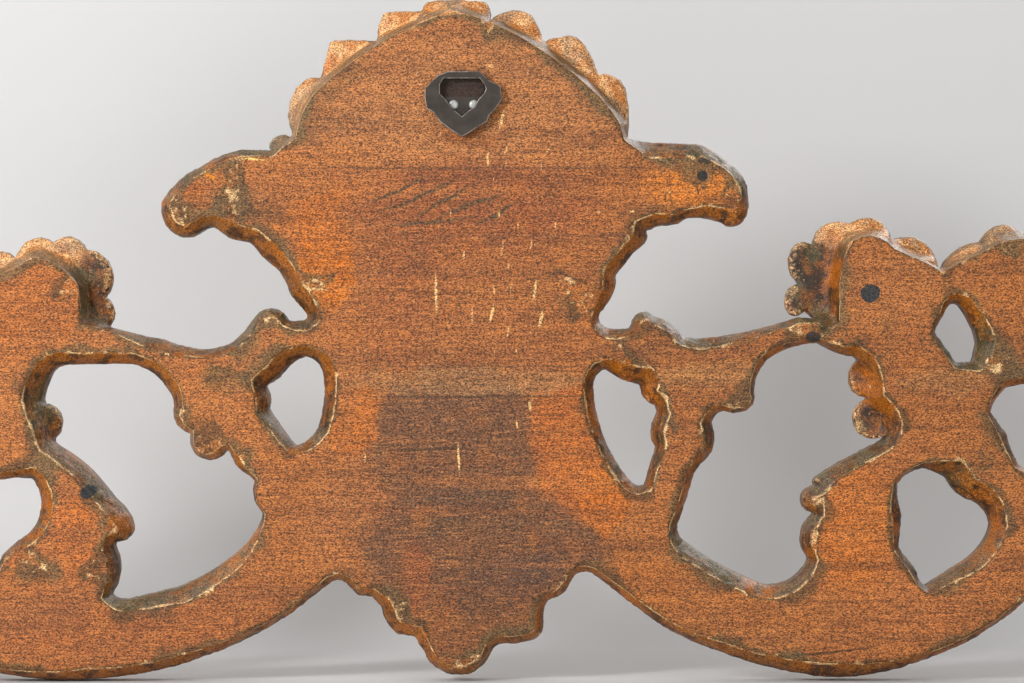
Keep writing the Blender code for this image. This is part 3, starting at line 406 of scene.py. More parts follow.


# Planed back: broad patches where the stain, damp and dust of years have left their own tones, and a painted
# shadow under the hanger plate's lower rim.
# Each is centre x and y, half width and height, turn, softness, strength and colour.
BARE_WOOD = "#AE6F43"
BACK_PATCHES = [
    (470, 100, 170, 75, 0, 0.5, 0.5, "#B5815A"),
    (480, 205, 110, 42, 0, 0.4, 0.6, "#99563A"),
    (455, 330, 120, 60, 0, 0.6, 0.35, "#A66A45"),
    (400, 290, 40, 62, 0, 0.6, 0.55, "#95593A"),
    (362, 520, 48, 66, 0, 0.4, 0.55, "#A56E4A"),
    (456, 442, 88, 76, 0, 0.14, 0.82, "#5E4737"),
    (484, 548, 126, 66, 0, 0.16, 0.82, "#5A4536"),
    (470, 620, 74, 44, 0, 0.3, 0.6, "#5A4030"),
    (520, 572, 46, 20, 8, 0.4, 0.6, "#3F3A38"),
    (468, 522, 54, 12, 0, 0.4, 0.4, "#4C4636"),
    (416, 580, 14, 40, 0, 0.3, 0.6, "#A25C3B"),
    (306, 215, 44, 16, 30, 0.15, 0.85, "#CE7A3E"),
    (325, 262, 28, 52, 8, 0.12, 0.9, "#D27A3A"),
    (352, 420, 30, 34, 0, 0.14, 0.75, "#C2743F"),
    (584, 452, 50, 74, 22, 0.12, 0.8, "#BC6E3E"),
    (604, 500, 22, 34, 0, 0.12, 0.75, "#CE7A40"),
    (690, 184, 50, 22, 0, 0.3, 0.85, "#DE8A48"),
    (905, 560, 100, 90, -25, 0.4, 0.65, "#C88052"),
    (850, 530, 44, 62, 0, 0.35, 0.65, "#CC7A40"),
    (85, 530, 34, 40, 0, 0.3, 0.7, "#C4703A"),
    (30, 540, 90, 50, 0, 0.5, 0.4, "#BC7345"),
    (225, 380, 24, 14, -10, 0.3, 0.85, "#5B4B2C"),
    (250, 205, 34, 12, -20, 0.4, 0.6, "#6B4A2E"),
    (205, 200, 26, 12, -15, 0.4, 0.5, "#7A4A28"),
    (335, 122, 38, 9, -4, 0.5, 0.5, "#7C5A3E"),
    (850, 610, 34, 26, 10, 0.5, 0.4, "#8E5D3B"),
    (250, 575, 60, 16, -30, 0.6, 0.35, "#9A5F3A"),
    (130, 630, 150, 40, 4, 0.5, 0.5, "#95593A"),
    (30, 310, 60, 50, 0, 0.5, 0.6, "#A45E30"),
    (900, 290, 60, 44, 0, 0.5, 0.3, "#B87C54"),
    (1018, 390, 20, 34, 0, 0.4, 0.6, "#6E5134"),
    (722, 376, 70, 13, 0, 0.35, 0.7, "#C08C5C"),
    (940, 381, 50, 13, 0, 0.35, 0.7, "#C08C5C"),
    (470, 381, 130, 14, 0, 0.25, 0.6, "#A67E58"),
    (760, 640, 60, 18, 12, 0.4, 0.4, "#C88856"),
    (640, 590, 40, 26, 30, 0.5, 0.35, "#B9743F"),
    # Painted shadow of the hanger plate, cast on the wood under its lower rim.
    (466, 136, 34, 8, -4, 0.5, 0.7, "#8A4E26"),
    (473, 187, 36, 20, 0, 0.6, 0.5, "#6A3C30"),
    (419, 265, 15, 9, 0, 0.5, 0.5, "#6A4030"),
    (338, 84, 40, 9, 38, 0.5, 0.5, "#6B5335"),
    (590, 100, 24, 8, -38, 0.5, 0.45, "#5E4A30"),
    (303, 135, 15, 11, 0, 0.5, 0.6, "#5A4C36"),
    (222, 197, 16, 8, 0, 0.3, 0.75, "#4A3828"),
    (250, 213, 36, 9, 0, 0.4, 0.75, "#5B3D22"),
    (198, 206, 26, 10, 0, 0.4, 0.6, "#6B3B1E"),
    (185, 186, 22, 13, 0, 0.4, 0.5, "#9A5026"),
    (269, 248, 11, 13, 0, 0.4, 0.65, "#5A4028"),
    (285, 276, 9, 15, 0, 0.4, 0.65, "#58401F"),
    (300, 304, 10, 13, 0, 0.4, 0.7, "#4E3F2A"),
    (642, 214, 22, 8, 0, 0.4, 0.65, "#5E452C"),
    (628, 236, 11, 11, 0, 0.4, 0.6, "#4E3A26"),
    (617, 264, 9, 17, 0, 0.4, 0.65, "#4E3A26"),
    (606, 300, 11, 17, 0, 0.4, 0.65, "#5A4630"),
    (722, 206, 24, 11, 0, 0.4, 0.7, "#5E3A22"),
    (735, 188, 12, 14, 0, 0.4, 0.4, "#8E5A34"),
    (690, 211, 30, 7, 0, 0.4, 0.5, "#6A4526"),
    (668, 153, 24, 8, 0, 0.4, 0.75, "#5C5A50"),
    (655, 345, 30, 9, 20, 0.4, 0.5, "#6E4E2E"),
    (640, 362, 18, 9, 0, 0.4, 0.55, "#5E4424"),
    (346, 400, 10, 44, 0, 0.5, 0.45, "#84583A"),
    (60, 458, 26, 9, 0, 0.4, 0.6, "#5A4026"),
    (32, 430, 9, 34, 0, 0.5, 0.5, "#6A4A2A"),
    (890, 330, 10, 30, 0, 0.5, 0.4, "#7A5A36"),
    (962, 470, 40, 9, 0, 0.5, 0.5, "#6A4A2C"),
    (400, 590, 14, 34, 0, 0.5, 0.45, "#6A4C34"),
    (350, 574, 20, 9, 0, 0.4, 0.5, "#5E442C"),
    (690, 560, 14, 22, 0, 0.5, 0.4, "#80522E"),
]
# Plugs and knots: round dark fillings, flush with the wood; the last entry is painted shade on the wood seen
# through the hanger's opening.
DARK_PLUGS_AND_HANGER_SHADE = [
    (703, 175.5, 5.2, 5.2, 0, 0.12, 0.95, "#23272A"),
    (870.5, 294, 10.5, 9.0, 20, 0.08, 0.95, "#2A3338"),
    (88, 492, 9.0, 6.0, 30, 0.15, 0.95, "#1E2528"),
    (813, 337, 7.0, 5.5, -10, 0.15, 0.9, "#1F2325"),
    (705, 161, 6.0, 3.0, -10, 0.3, 0.8, "#2A2A24"),
    (593, 133, 3.0, 2.0, 0, 0.3, 0.7, "#3A3A2A"),
    # Painted shade inside the hanger's opening, dark on the wood under the steel.
    (462, 92, 30, 22, 0, 0.15, 0.96, "#2B1E17"),
]
# Seams and saw lines along the grain: middle x and y, half length and width, turn, strength and colour.
SEAM_LINES = [
    (470, 168, 190, 1.1, 0.0, 0.6, "#6C4A32"),
    (520, 236, 170, 1.0, 0.0, 0.5, "#76503A"),
    (480, 396.5, 112, 1.3, 0.3, 0.75, "#563B29"),
    (470, 366, 120, 1.0, 0.0, 0.55, "#6E4C36"),
    (38, 281, 40, 0.8, 0.0, 0.4, "#7D5238"),
    (760, 398, 36, 1.0, 0.0, 0.4, "#80543A"),
    (425, 122, 110, 0.8, 0.6, 0.35, "#80583E"),
    (436, 449, 50, 1.2, 2.0, 0.7, "#46301F"),
    (440, 503, 120, 0.8, 0.4, 0.35, "#6A4933"),
    (735, 370, 60, 0.8, 0.0, 0.45, "#75573C"),
    (735, 381, 66, 0.8, 0.0, 0.4, "#75573C"),
    (800, 655, 82, 1.3, 5.5, 0.75, "#3C2A1B"),
]
# Pale scratches where the wood has been struck, and a few painted highlights along edges: middle x and y,
# half width and height, turn, colour.
PALE_SCRATCHES_AND_HIGHLIGHTS = [
    (436, 294, 1.2, 18, 2, "#EBC58C"), (459, 459, 1.1, 14, 3, "#E9C188"), (502, 119, 1.3, 9, -16, "#E9BE84"),
    (535, 290, 1.6, 9, -10, "#E6BC82"), (492, 313, 1.3, 9, -12, "#E9C188"), (472, 315, 0.9, 8, 0, "#D9A672"),
    (488, 159, 1.2, 7, -2, "#E2B47C"), (502, 249, 0.9, 8, -6, "#D9A672"), (541, 319, 1.5, 9, -12, "#E9C188"),
    (508, 332, 1.1, 5, -12, "#DDAE78"), (530, 406, 1.4, 5, 5, "#E9C188"), (517, 425, 1.0, 4, 0, "#E6BE86"),
    (506, 150, 1.0, 5, -20, "#DDAE78"), (548, 150, 0.9, 4, -30, "#D9A672"), (494, 290, 0.9, 4, 0, "#DDAE78"),
    # Painted highlight along the left ear's upper arris, and a painted orange glow beside it.
    (236, 157.5, 30, 1.3, -5, "#F0C27C"), (203, 170, 17, 2.6, -38, "#D98B3C"),
    (368, 34, 22, 0.9, -30, "#E9BE84"),
    (365, 458, 1.0, 4, 0, "#E6BE86"), (600, 414, 1.0, 4, 10, "#E6BE86"), (490, 66, 5, 1.2, -14, "#DDAE78"),
    (499, 214, 0.9, 3, 0, "#DDAE78"), (518, 226, 0.9, 3, 0, "#D9A672"), (531, 245, 0.8, 4, -10, "#DDAE78"),
    (555, 225, 0.9, 3, 0, "#D9A672"), (599, 212, 2.0, 1.5, 0, "#DDAE78"), (632, 211, 2.4, 1.4, 0, "#E2B47C"),
    # The last mark on the next line, at 316 by 289, is a painted glint.
    (451, 212, 0.9, 3, 0, "#D9A672"), (508, 266, 1.2, 3, 0, "#D9A672"), (316, 289, 9, 1.3, -3, "#E6BE86"),
]
# Crayon strokes, loose, wavy and slanted.
CRAYON_STROKES = [
    (398, 190, 30, 2.0, 26), (420, 196, 34, 2.1, 22), (446, 200, 30, 2.0, 27), (470, 206, 32, 2.0, 21),
    (430, 222, 44, 1.7, 6), (496, 214, 22, 1.9, 30),
]

back_colour = linear(BARE_WOOD)
for x, y, half_x, half_y, turn, soft, strength, colour in BACK_PATCHES:
    back_colour = mixed(patch(x, y, half_x, half_y, turn, soft, strength), back_colour, linear(colour))

# The plane left a step in the tone at the upper seam: the wood under it is redder and darker.
SEAM_Z = back_view(0, 168)[1]
SEAM_ABOVE = 0.0003
SEAM_UNDER = 0.0004
below = stepped(parts.outputs["Z"], SEAM_Z + SEAM_ABOVE, SEAM_Z - SEAM_UNDER)
under_seam = math_node("MULTIPLY", patch(455, 205, 165, 62, 0, 0.7, 0.6), below)
back_colour = mixed(under_seam, back_colour, linear("#8E5537"))

# Grain runs level along the board: bands 13 mm high, saw marks of 3 mm and fibres of 1 mm.
# The wood's pores are under 0.1 mm, so the speckle of about 0.5 mm is drawn coarser than real.
grain_place = stretched(nearly_straight, (9.0, 30.0, 330.0))
grain = speckle(grain_place, 1.0, 6.0, 0.62)
long_grain = speckle(stretched(place, (3.0, 20.0, 75.0)), 1.0, 5.0, 0.6)
dust = speckle(stretched(place, (1100.0, 1700.0, 2100.0)), 1.0, 2.0, 0.8)
fine_dust = speckle(place, 620.0, 3.0, 0.75)
mottle = speckle(place, 42.0, 5.0, 0.62)
back_colour = mixed(stepped(long_grain, 0.50, 0.62, 0.0, 0.45), back_colour, linear("#7E5035"))
back_colour = mixed(stepped(long_grain, 0.48, 0.36, 0.0, 0.34), back_colour, linear("#CC8552"))
back_colour = mixed(stepped(mottle, 0.50, 0.68, 0.0, 0.35), back_colour, linear("#86583A"))
back_colour = mixed(stepped(mottle, 0.46, 0.32, 0.0, 0.28), back_colour, linear("#C97C46"))
back_colour = mixed(stepped(grain, 0.50, 0.64, 0.0, 0.42), back_colour, linear("#74462B"))
fibre = speckle(stretched(place, (75.0, 30.0, 1000.0)), 1.0, 3.0, 0.6)
back_colour = mixed(stepped(fibre, 0.52, 0.64, 0.0, 0.50), back_colour, linear("#6C4129"))
back_colour = mixed(stepped(fibre, 0.47, 0.36, 0.0, 0.34), back_colour, linear("#D08E5C"))
two_tone = speckle(stretched(place, (900.0, 1500.0, 1900.0)), 1.0, 2.0, 0.7, noise_dimensions="4D")
back_colour = mixed(stepped(two_tone, 0.54, 0.64, 0.0, 0.26), back_colour, linear("#E0A56E"))
back_colour = mixed(stepped(two_tone, 0.46, 0.36, 0.0, 0.22), back_colour, linear("#5C3524"))
for x, y, half_x, half_y, turn, strength, colour in SEAM_LINES:
    line = patch(x, y, half_x, half_y, turn, 0.35, strength, nearly_straight)
    back_colour = mixed(line, back_colour, linear(colour))
wavy = wandering(0.006)
broken = stepped(fine_dust, 0.34, 0.50, 0.0, 0.85)
for x, y, half_x, half_y, turn in CRAYON_STROKES:
    stroke = math_node("MULTIPLY", patch(x, y, half_x, half_y, turn, 0.6, 1.0, wavy), broken)
    back_colour = mixed(stroke, back_colour, linear("#3F3F2E"))
scratch_place = stretched(place, (520.0, 60.0, 130.0))
flecks = stepped(speckle(scratch_place, 1.0, 2.0, 0.5), 0.70, 0.76)
fleck_zone = math_node("MAXIMUM", patch(500, 230, 60, 190, 0, 0.5, 1.0), patch(480, 120, 90, 60, 0, 0.6, 0.6))
back_colour = mixed(math_node("MULTIPLY", flecks, fleck_zone), back_colour, linear("#E2B684"))
hardly_wandering = wandering(0.0012)
for x, y, half_x, half_y, turn, colour in PALE_SCRATCHES_AND_HIGHLIGHTS:
    scratch_or_highlight = patch(x, y, half_x, half_y, turn, 0.35, 0.95, hardly_wandering)
    back_colour = mixed(scratch_or_highlight, back_colour, linear(colour))

# Dirt and old varnish smeared over the flat beside the cuts, thick in some places and absent in others.
edge_reach = add_node(old_wood, "ShaderNodeAttribute", attribute_name="to_arris").outputs["Fac"]
smear_noise = speckle(place, 38.0, 4.0, 0.6)
smear_width = stepped(smear_noise, 0.42, 0.66, 0.0006, 0.0075)
smear = stepped(math_node("DIVIDE", edge_reach, smear_width), 1.2, 0.35, 0.0, 0.75)
smear_colour = mixed(stepped(mottle, 0.4, 0.6), linear("#4E3A22"), linear("#6C5A3C"))
back_colour = mixed(smear, back_colour, smear_colour)

# Gouged edges: varnish run and dirt in the cuts, from umber to olive, with raw chips showing.
# Streaks follow the cut, because they change fast with depth and slowly along the edge.
# The upper sides hold grey dust with a painted sheen on it, the lower sides a warm painted light near the
# flat and dark painted shade.
cut_noise = speckle(place, 120.0, 5.0, 0.65)
cut_streak = speckle(stretched(place, (110.0, 700.0, 110.0)), 1.0, 4.0, 0.6)
cut_fine = speckle(place, 520.0, 4.0, 0.7)
cut_broad = speckle(place, 32.0, 3.0, 0.5)
looks_up = facing.outputs["Z"]
cut_colour = mixed(stepped(cut_streak, 0.40, 0.58), linear("#33200F"), linear("#8C5222"))
cut_colour = mixed(stepped(cut_broad, 0.50, 0.62, 0.0, 0.7), cut_colour, linear("#565030"))
cut_colour = mixed(stepped(cut_broad, 0.46, 0.36, 0.0, 0.65), cut_colour, linear("#C06E28"))
cut_colour = mixed(stepped(cut_noise, 0.52, 0.62, 0.0, 0.7), cut_colour, linear("#2A2014"))
# Grey on upward cuts: dust, and a painted sheen of the light above.
upper_dust_and_sheen = math_node("MULTIPLY", stepped(looks_up, 0.10, 0.55, 0.0, 0.5), stepped(cut_noise, 0.36, 0.56))
cut_colour = mixed(upper_dust_and_sheen, cut_colour, linear("#83755C"))
# Painted light: downward cuts near the flat are lighter and warmer.
under_painted_light = math_node("MULTIPLY", stepped(looks_up, -0.10, -0.5, 0.0, 0.75), stepped(depth, 0.009, 0.005))
cut_colour = mixed(under_painted_light, cut_colour, linear("#B26E34"))
# Painted shade: dark patches on downward-facing cuts.
under_painted_shade = math_node("MULTIPLY", stepped(looks_up, -0.15, -0.6, 0.0, 0.75), stepped(cut_noise, 0.50, 0.60))
cut_colour = mixed(under_painted_shade, cut_colour, linear("#2A1C12"))
cut_colour = mixed(stepped(cut_fine, 0.58, 0.68, 0.0, 0.75), cut_colour, linear("#B98C66"))
cut_colour = mixed(stepped(cut_fine, 0.44, 0.34, 0.0, 0.6), cut_colour, linear("#17110A"))
PALE_CUTS = [
    (452, 20, 190, 50, 0, 0.3, 0.95), (310, 100, 40, 60, 0, 0.3, 0.95), (600, 90, 50, 60, 0, 0.3, 0.95),
    (850, 222, 40, 26, 0, 0.3, 0.9), (930, 245, 60, 34, 0, 0.3, 0.95), (1010, 232, 60, 34, 0, 0.3, 0.95),
    (20, 250, 60, 26, 0, 0.3, 0.9), (-100, 260, 90, 60, 0, 0.3, 0.9), (1090, 270, 70, 60, 0, 0.3, 0.9),
    (195, 442, 34, 26, 0, 0.3, 0.4),
]
pale_cut = mixed(stepped(cut_streak, 0.38, 0.62), linear("#D08852"), linear("#F6C08C"))
pale_cut = mixed(stepped(cut_broad, 0.52, 0.62, 0.0, 0.6), pale_cut, linear("#96806A"))
pale_cut = mixed(stepped(cut_noise, 0.56, 0.66, 0.0, 0.5), pale_cut, linear("#8A5C36"))
# Painted shade: the more the cut turns away from the back, the darker.
pale_cut = mixed(stepped(facing.outputs["Y"], 0.66, 0.34, 0.0, 0.8), pale_cut, linear("#6E5638"))
# Behind the shell and the petals the cuts are raw and pale, but for painted shade on the steep step at the
# flat's edge.
for x, y, half_x, half_y, turn, soft, strength in PALE_CUTS:
    cut_colour = mixed(patch(x, y, half_x, half_y, turn, soft, strength), cut_colour, pale_cut)
# A pale line along the arris: worn wood, and a painted highlight of the edge.
near_arris = stepped(depth, 0.0017, 0.0004)
arris_wear_and_highlight = math_node("MULTIPLY", near_arris, stepped(cut_noise, 0.45, 0.53, 0.0, 0.95))
cut_colour = mixed(arris_wear_and_highlight, cut_colour, linear("#F8D09A"))
chip_light = math_node("MULTIPLY", stepped(proud, 0.05, 0.16), stepped(cut_fine, 0.44, 0.58))
cut_colour = mixed(chip_light, cut_colour, linear("#DDB284"))

# Carved front: brown stain under wax, nearly black in the hollows, worn to orange on the ridges.
front_colour = mixed(stepped(mottle, 0.35, 0.65), linear("#5A3319"), linear("#7A4A27"))
front_colour = mixed(stepped(long_grain, 0.45, 0.7, 0.0, 0.4), front_colour, linear("#4A2A15"))
front_colour = mixed(stepped(proud, 0.015, 0.10, 0.0, 0.75), front_colour, linear("#B0743F"))
front_colour = mixed(stepped(proud, -0.015, -0.09, 0.0, 0.85), front_colour, linear("#26160C"))
front_colour = mixed(stepped(dust, 0.58, 0.74, 0.0, 0.25), front_colour, linear("#A98258"))

# The back and the cuts meet along a border roughened by up to 0.6 mm to either side.
# The cuts pass into the front where the surface turns forward, about 20 mm down.
ROUGHENING = 0.0012
roughened = math_node("MULTIPLY", math_node("SUBTRACT", cut_fine, 0.5), ROUGHENING)
ragged_depth = math_node("ADD", depth, roughened)
cut_share = stepped(ragged_depth, 0.00018, 0.00055)
front_share = math_node(
    "MULTIPLY", stepped(facing.outputs["Y"], 0.15, -0.25), stepped(depth, 0.017, 0.0205))
wood_colour = mixed(cut_share, back_colour, cut_colour)
wood_colour = mixed(front_share, wood_colour, front_colour)
# Dark plugs and knots, and the painted shade in the hanger's opening.
for x, y, half_x, half_y, turn, soft, strength, colour in DARK_PLUGS_AND_HANGER_SHADE:
    plug_and_shade = math_node(
        "MULTIPLY", patch(x, y, half_x, half_y, turn, soft, strength, nearly_straight),
        stepped(depth, 0.006, 0.005))
    wood_colour = mixed(plug_and_shade, wood_colour, linear(colour))

# Every tone carries the same fine speckle of pale and dark pores.
speckled = stepped(dust, 0.37, 0.63, 0.16, 1.42)
tone = add_node(old_wood, "ShaderNodeHueSaturation", {
    "Color": wood_colour, "Saturation": 1.08, "Value": speckled}).outputs[0]

bump_height = math_node("MULTIPLY_ADD", grain, 0.35, math_node("MULTIPLY", fine_dust, 0.25))
bump_cut = math_node("MULTIPLY_ADD", cut_fine, 1.6, math_node("MULTIPLY", cut_noise, 1.8))
height = add_node(
    old_wood, "ShaderNodeMix", {"Factor": cut_share, 2: bump_height, 3: bump_cut},
    data_type="FLOAT").outputs[0]
surface = add_node(old_wood, "ShaderNodeBump", {"Strength": 0.65, "Distance": 0.0006, "Height": height})
dry_wood = stepped(fine_dust, 0.3, 0.7, 0.62, 0.80)
varnished_cut = stepped(cut_noise, 0.35, 0.65, 0.30, 0.55)
roughness = add_node(
    old_wood, "ShaderNodeMix", {"Factor": cut_share, 2: dry_wood, 3: varnished_cut},
    data_type="FLOAT").outputs[0]
old_wood.node_tree.links.new(tone, wood_shader.inputs["Base Color"])
old_wood.node_tree.links.new(roughness, wood_shader.inputs["Roughness"])
old_wood.node_tree.links.new(surface.outputs[0], wood_shader.inputs["Normal"])
wood_shader.inputs["IOR"].default_value = 1.47
carving.data.materials.clear()
carving.data.materials.append(old_wood)
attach(carving, "root")
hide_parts("carved_panel")

# The hanger is pressed steel sheet, blackened, with a turned-down rim and a five-sided opening.
# Its edges are rubbed bright, and the pale edge colour is also a painted highlight; it is nailed through its
# back leaf to the board.
EDGE_WEAR = 0.00034
steel = bmesh.new()
steel.from_mesh(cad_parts["hanger_plate"].data)
bmesh.ops.remove_doubles(steel, verts=steel.verts, dist=WELD)
bmesh.ops.dissolve_limit(steel, angle_limit=math.radians(1), verts=steel.verts, edges=steel.edges)
steel.normal_update()
worn_layer = steel.faces.layers.float.new("rubbed_and_glinting_edge")
SHORTEST_WORN_EDGE = 0.0005
OUTER_FACE_REACH = 0.0002
corners = [edge for edge in steel.edges if len(edge.link_faces) == 2
           and edge.calc_face_angle(0) > math.radians(50) and edge.calc_length() > SHORTEST_WORN_EDGE
           and max(vertex.co.y for vertex in edge.verts) > -OUTER_FACE_REACH]
worn = bmesh.ops.bevel(
    steel, geom=corners, offset=EDGE_WEAR, segments=3, profile=0.5, affect="EDGES", material=-1,
    clamp_overlap=True)
for face in worn["faces"]:
    face[worn_layer] = 1.0
bmesh.ops.triangulate(steel, faces=steel.faces)
plate = finished_object("hanger_plate_steel", steel)
plate.data.shade_smooth()
plate.data.set_sharp_from_angle(angle=math.radians(35))
flat_faces = plate.modifiers.new("flat_faces", "WEIGHTED_NORMAL")
flat_faces.keep_sharp = True
flat_faces.weight = 100

black_steel, steel_shader = new_material("blackened_pressed_steel")
steel_place = add_node(black_steel, "ShaderNodeTexCoord").outputs["Object"]
scuffs = add_node(
    black_steel, "ShaderNodeTexNoise",
    {"Vector": steel_place, "Scale": 900.0, "Detail": 5.0, "Roughness": 0.7})
clouds = add_node(
    black_steel, "ShaderNodeTexNoise", {"Vector": steel_place, "Scale": 160.0, "Detail": 3.0})
steel_ramp = add_node(black_steel, "ShaderNodeMix", {
    "Factor": clouds.outputs[0], 6: linear("#332E2A"), 7: linear("#5E5650")}, data_type="RGBA")
rubbed_and_glinting_edge = add_node(black_steel, "ShaderNodeAttribute", attribute_name="rubbed_and_glinting_edge").outputs["Fac"]
# Pale rubbed steel on the bevelled edges: wear, with a painted highlight.
wear = add_node(
    black_steel, "ShaderNodeTexNoise",
    {"Vector": steel_place, "Scale": 210.0, "Detail": 3.0, "Roughness": 0.7})
wear_break = add_node(black_steel, "ShaderNodeMapRange", {
    "Value": wear.outputs[0], "From Min": 0.36, "From Max": 0.58, "To Max": 0.85})
rubbed_and_glint = add_node(
    black_steel, "ShaderNodeMath", {0: rubbed_and_glinting_edge, 1: wear_break.outputs[0]}, operation="MULTIPLY")
steel_colour = add_node(black_steel, "ShaderNodeMix", {
    "Factor": rubbed_and_glint.outputs[0], 6: steel_ramp.outputs[2], 7: linear("#C9BFB8")}, data_type="RGBA")
steel_rough = add_node(black_steel, "ShaderNodeMapRange", {
    "Value": scuffs.outputs[0], "From Min": 0.3, "From Max": 0.7, "To Min": 0.38, "To Max": 0.6})
steel_bump = add_node(
    black_steel, "ShaderNodeBump", {"Strength": 0.25, "Distance": 0.0002, "Height": scuffs.outputs[0]})
black_steel.node_tree.links.new(steel_colour.outputs[2], steel_shader.inputs["Base Color"])
black_steel.node_tree.links.new(steel_rough.outputs[0], steel_shader.inputs["Roughness"])
black_steel.node_tree.links.new(steel_bump.outputs[0], steel_shader.inputs["Normal"])
steel_shader.inputs["Metallic"].default_value = 0.75
plate.data.materials.clear()
plate.data.materials.append(black_steel)
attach(plate, "root")
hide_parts("hanger_plate")

# Two round-headed wire nails hold the plate: bright drawn steel, the heads dented by the hammer.
# Each is one turned outline, from the top of its head down to its point.
NAIL_CENTRES = {"nail_left": back_view(453.5, 105.0), "nail_right": back_view(474.0, 105.0)}
bright_steel, nail_shader = new_material("bright_drawn_steel")
nail_place = add_node(bright_steel, "ShaderNodeTexCoord").outputs["Object"]
hammer = add_node(
    bright_steel, "ShaderNodeTexNoise", {"Vector": nail_place, "Scale": 1100.0, "Detail": 4.0})
nail_mix = add_node(bright_steel, "ShaderNodeMix", {
    "Factor": hammer.outputs[0], 6: linear("#8E8E8C"), 7: linear("#E2E2DE")}, data_type="RGBA")
nail_bump = add_node(
    bright_steel, "ShaderNodeBump", {"Strength": 0.5, "Distance": 0.0003, "Height": hammer.outputs[0]})
bright_steel.node_tree.links.new(nail_mix.outputs[2], nail_shader.inputs["Base Color"])
bright_steel.node_tree.links.new(nail_bump.outputs[0], nail_shader.inputs["Normal"])
nail_shader.inputs["Metallic"].default_value = 0.6
nail_shader.inputs["Roughness"].default_value = 0.38
POINT_LENGTH = 0.003
TURNED_STEPS = 40
for name, (nail_x, nail_z) in NAIL_CENTRES.items():
    low_corner, high_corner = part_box(name)
    top = high_corner.y
    tip = low_corner.y
    head = (high_corner.x - low_corner.x) / 2
    outline = [
        (0.0, top), (0.45 * head, top - 0.00008), (0.8 * head, top - 0.00025), (0.96 * head, top - 0.00055),
        (head, top - 0.00075), (0.98 * head, top - 0.00098), (0.46 * head, top - 0.001),
        (0.44 * head, tip + POINT_LENGTH), (0.0, tip),
    ]
    nail = bmesh.new()
    points = [nail.verts.new((nail_x + radius, y, nail_z)) for radius, y in outline]
    lines = [nail.edges.new(pair) for pair in zip(points, points[1:])]
    bmesh.ops.spin(
        nail, geom=points + lines, cent=(nail_x, 0, nail_z), axis=(0, 1, 0), angle=2 * math.pi,
        steps=TURNED_STEPS, use_merge=True, use_duplicate=False)
    bmesh.ops.remove_doubles(nail, verts=nail.verts, dist=WELD)
    bmesh.ops.recalc_face_normals(nail, faces=nail.faces)
    piece = finished_object(name + "_bright", nail)
    piece.data.shade_smooth()
    piece.data.set_sharp_from_angle(angle=math.radians(40))
    piece.data.materials.append(bright_steel)
    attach(piece, "root")
    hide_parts(name)

# The studio: one pale paper sheet swept up from the floor into a backdrop close behind the carving.
# Its far side is see-through, so that the carved front can be looked at from there.
# The strongest soft light stands far to the left, so the shadows fall to the right, as in the photo.
# Two weaker ones fill from the right and above, and a fourth lights the carved front alone.
FLOOR_GAP = 0.0005
FLOOR_Z = cad_box[0][2] - FLOOR_GAP
SWEEP_RADIUS = 0.11
SWEEP_BACK_Y = -0.30
SWEEP_FRONT_Y = 3.0
SWEEP_TOP = 2.2
SWEEP_WIDTH = 5.0
SWEEP_STEPS = 16
sweep = bmesh.new()
profile = [(SWEEP_FRONT_Y, FLOOR_Z)]
for step in range(SWEEP_STEPS + 1):
    angle = math.radians(90 * step / SWEEP_STEPS)
    profile.append((SWEEP_BACK_Y + SWEEP_RADIUS * (1 - math.sin(angle)),
                    FLOOR_Z + SWEEP_RADIUS * (1 - math.cos(angle))))
profile.append((SWEEP_BACK_Y, SWEEP_TOP))
line = [sweep.verts.new((-SWEEP_WIDTH / 2, y, z)) for y, z in profile]
sides = [sweep.edges.new(pair) for pair in zip(line, line[1:])]
grown = bmesh.ops.extrude_edge_only(sweep, edges=sides)
far_side = [item for item in grown["geom"] if isinstance(item, bmesh.types.BMVert)]
bmesh.ops.translate(sweep, verts=far_side, vec=(SWEEP_WIDTH, 0, 0))
bmesh.ops.recalc_face_normals(sweep, faces=sweep.faces)
floor_face = max(sweep.faces, key=lambda face: face.calc_area())
if floor_face.normal.z < 0:
    bmesh.ops.reverse_faces(sweep, faces=sweep.faces)
backdrop = finished_object("studio_sweep", sweep)
backdrop.data.shade_smooth()
paper, paper_shader = new_material("pale_grey_paper")
paper_noise = add_node(paper, "ShaderNodeTexNoise", {
    "Vector": add_node(paper, "ShaderNodeTexCoord").outputs["Object"], "Scale": 3.0, "Detail": 2.0})
paper_mix = add_node(paper, "ShaderNodeMix", {
    "Factor": paper_noise.outputs[0], 6: linear("#EDEDED"), 7: linear("#F3F3F2")}, data_type="RGBA")
paper.node_tree.links.new(paper_mix.outputs[2], paper_shader.inputs["Base Color"])
paper_shader.inputs["Roughness"].default_value = 0.85
paper_side = add_node(paper, "ShaderNodeNewGeometry").outputs["Backfacing"]
unseen_side = add_node(paper, "ShaderNodeBsdfTransparent").outputs[0]
one_way = add_node(paper, "ShaderNodeMixShader", {0: paper_side, 1: paper_shader.outputs[0], 2: unseen_side})
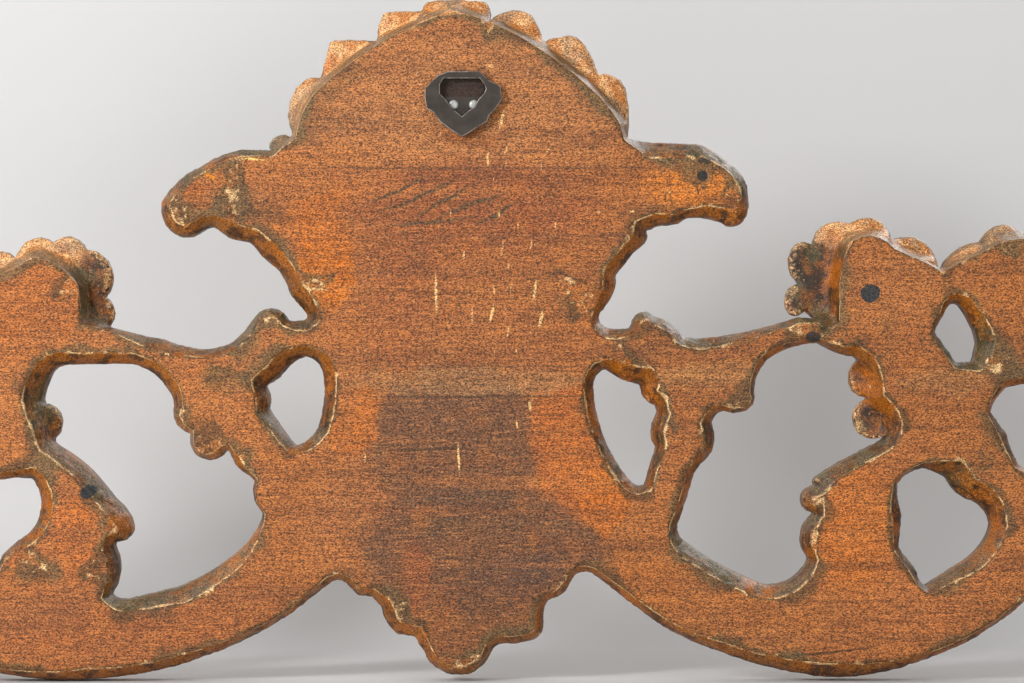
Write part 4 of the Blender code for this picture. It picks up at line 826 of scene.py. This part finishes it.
paper.node_tree.links.new(one_way.outputs[0], paper.node_tree.nodes["Material Output"].inputs["Surface"])
backdrop.data.materials.append(paper)


def area_light(name, location, target, size, power):
    data = bpy.data.lights.new(name, "AREA")
    data.shape = "SQUARE"
    data.size = size
    data.energy = power
    lamp = bpy.data.objects.new(name, data)
    bpy.context.scene.collection.objects.link(lamp)
    lamp.location = location
    lamp.rotation_euler = (Vector(target) - Vector(location)).to_track_quat("-Z", "Y").to_euler()
    return lamp


VIEW_CENTRE = back_view(512, 341.5)
middle = (VIEW_CENTRE[0], 0, VIEW_CENTRE[1])
area_light("left_softbox", (0.95, 1.0, 0.42), (0.03, 0, -0.1), 0.36, 9.8)
area_light("right_softbox", (-0.40, 1.40, 0.0), middle, 0.45, 2.5)
area_light("top_softbox", (0.1, 0.9, 1.2), middle, 0.9, 2.1)
front_softbox = area_light("front_softbox", (-0.85, -1.1, 0.95), (0, 0, -0.1), 0.5, 14)
lit_from_front = bpy.data.collections.new("lit_from_front")
lit_from_front.objects.link(carving)
front_softbox.light_linking.receiver_collection = lit_from_front
front_softbox.light_linking.blocker_collection = lit_from_front
world = bpy.data.worlds.new("studio_air")
bpy.context.scene.world = world
world.use_nodes = True
world.node_tree.nodes["Background"].inputs["Color"].default_value = (1.0, 1.0, 1.0, 1.0)
world.node_tree.nodes["Background"].inputs["Strength"].default_value = 0.43

CAMERA_DISTANCE = 1.75
SENSOR_WIDTH = 36.0
PICTURE_PIXELS = 1024
camera_data = bpy.data.cameras.new("camera")
camera = bpy.data.objects.new("camera", camera_data)
bpy.context.scene.collection.objects.link(camera)
camera.location = (VIEW_CENTRE[0], BACK_Y + CAMERA_DISTANCE, VIEW_CENTRE[1])
camera.rotation_euler = (math.radians(90), 0, math.radians(180))
camera_data.sensor_width = SENSOR_WIDTH
camera_data.sensor_fit = "HORIZONTAL"
camera_data.lens = SENSOR_WIDTH * CAMERA_DISTANCE / (PICTURE_PIXELS * PIXEL)
bpy.context.scene.camera = camera

bpy.context.scene.view_settings.view_transform = "Standard"
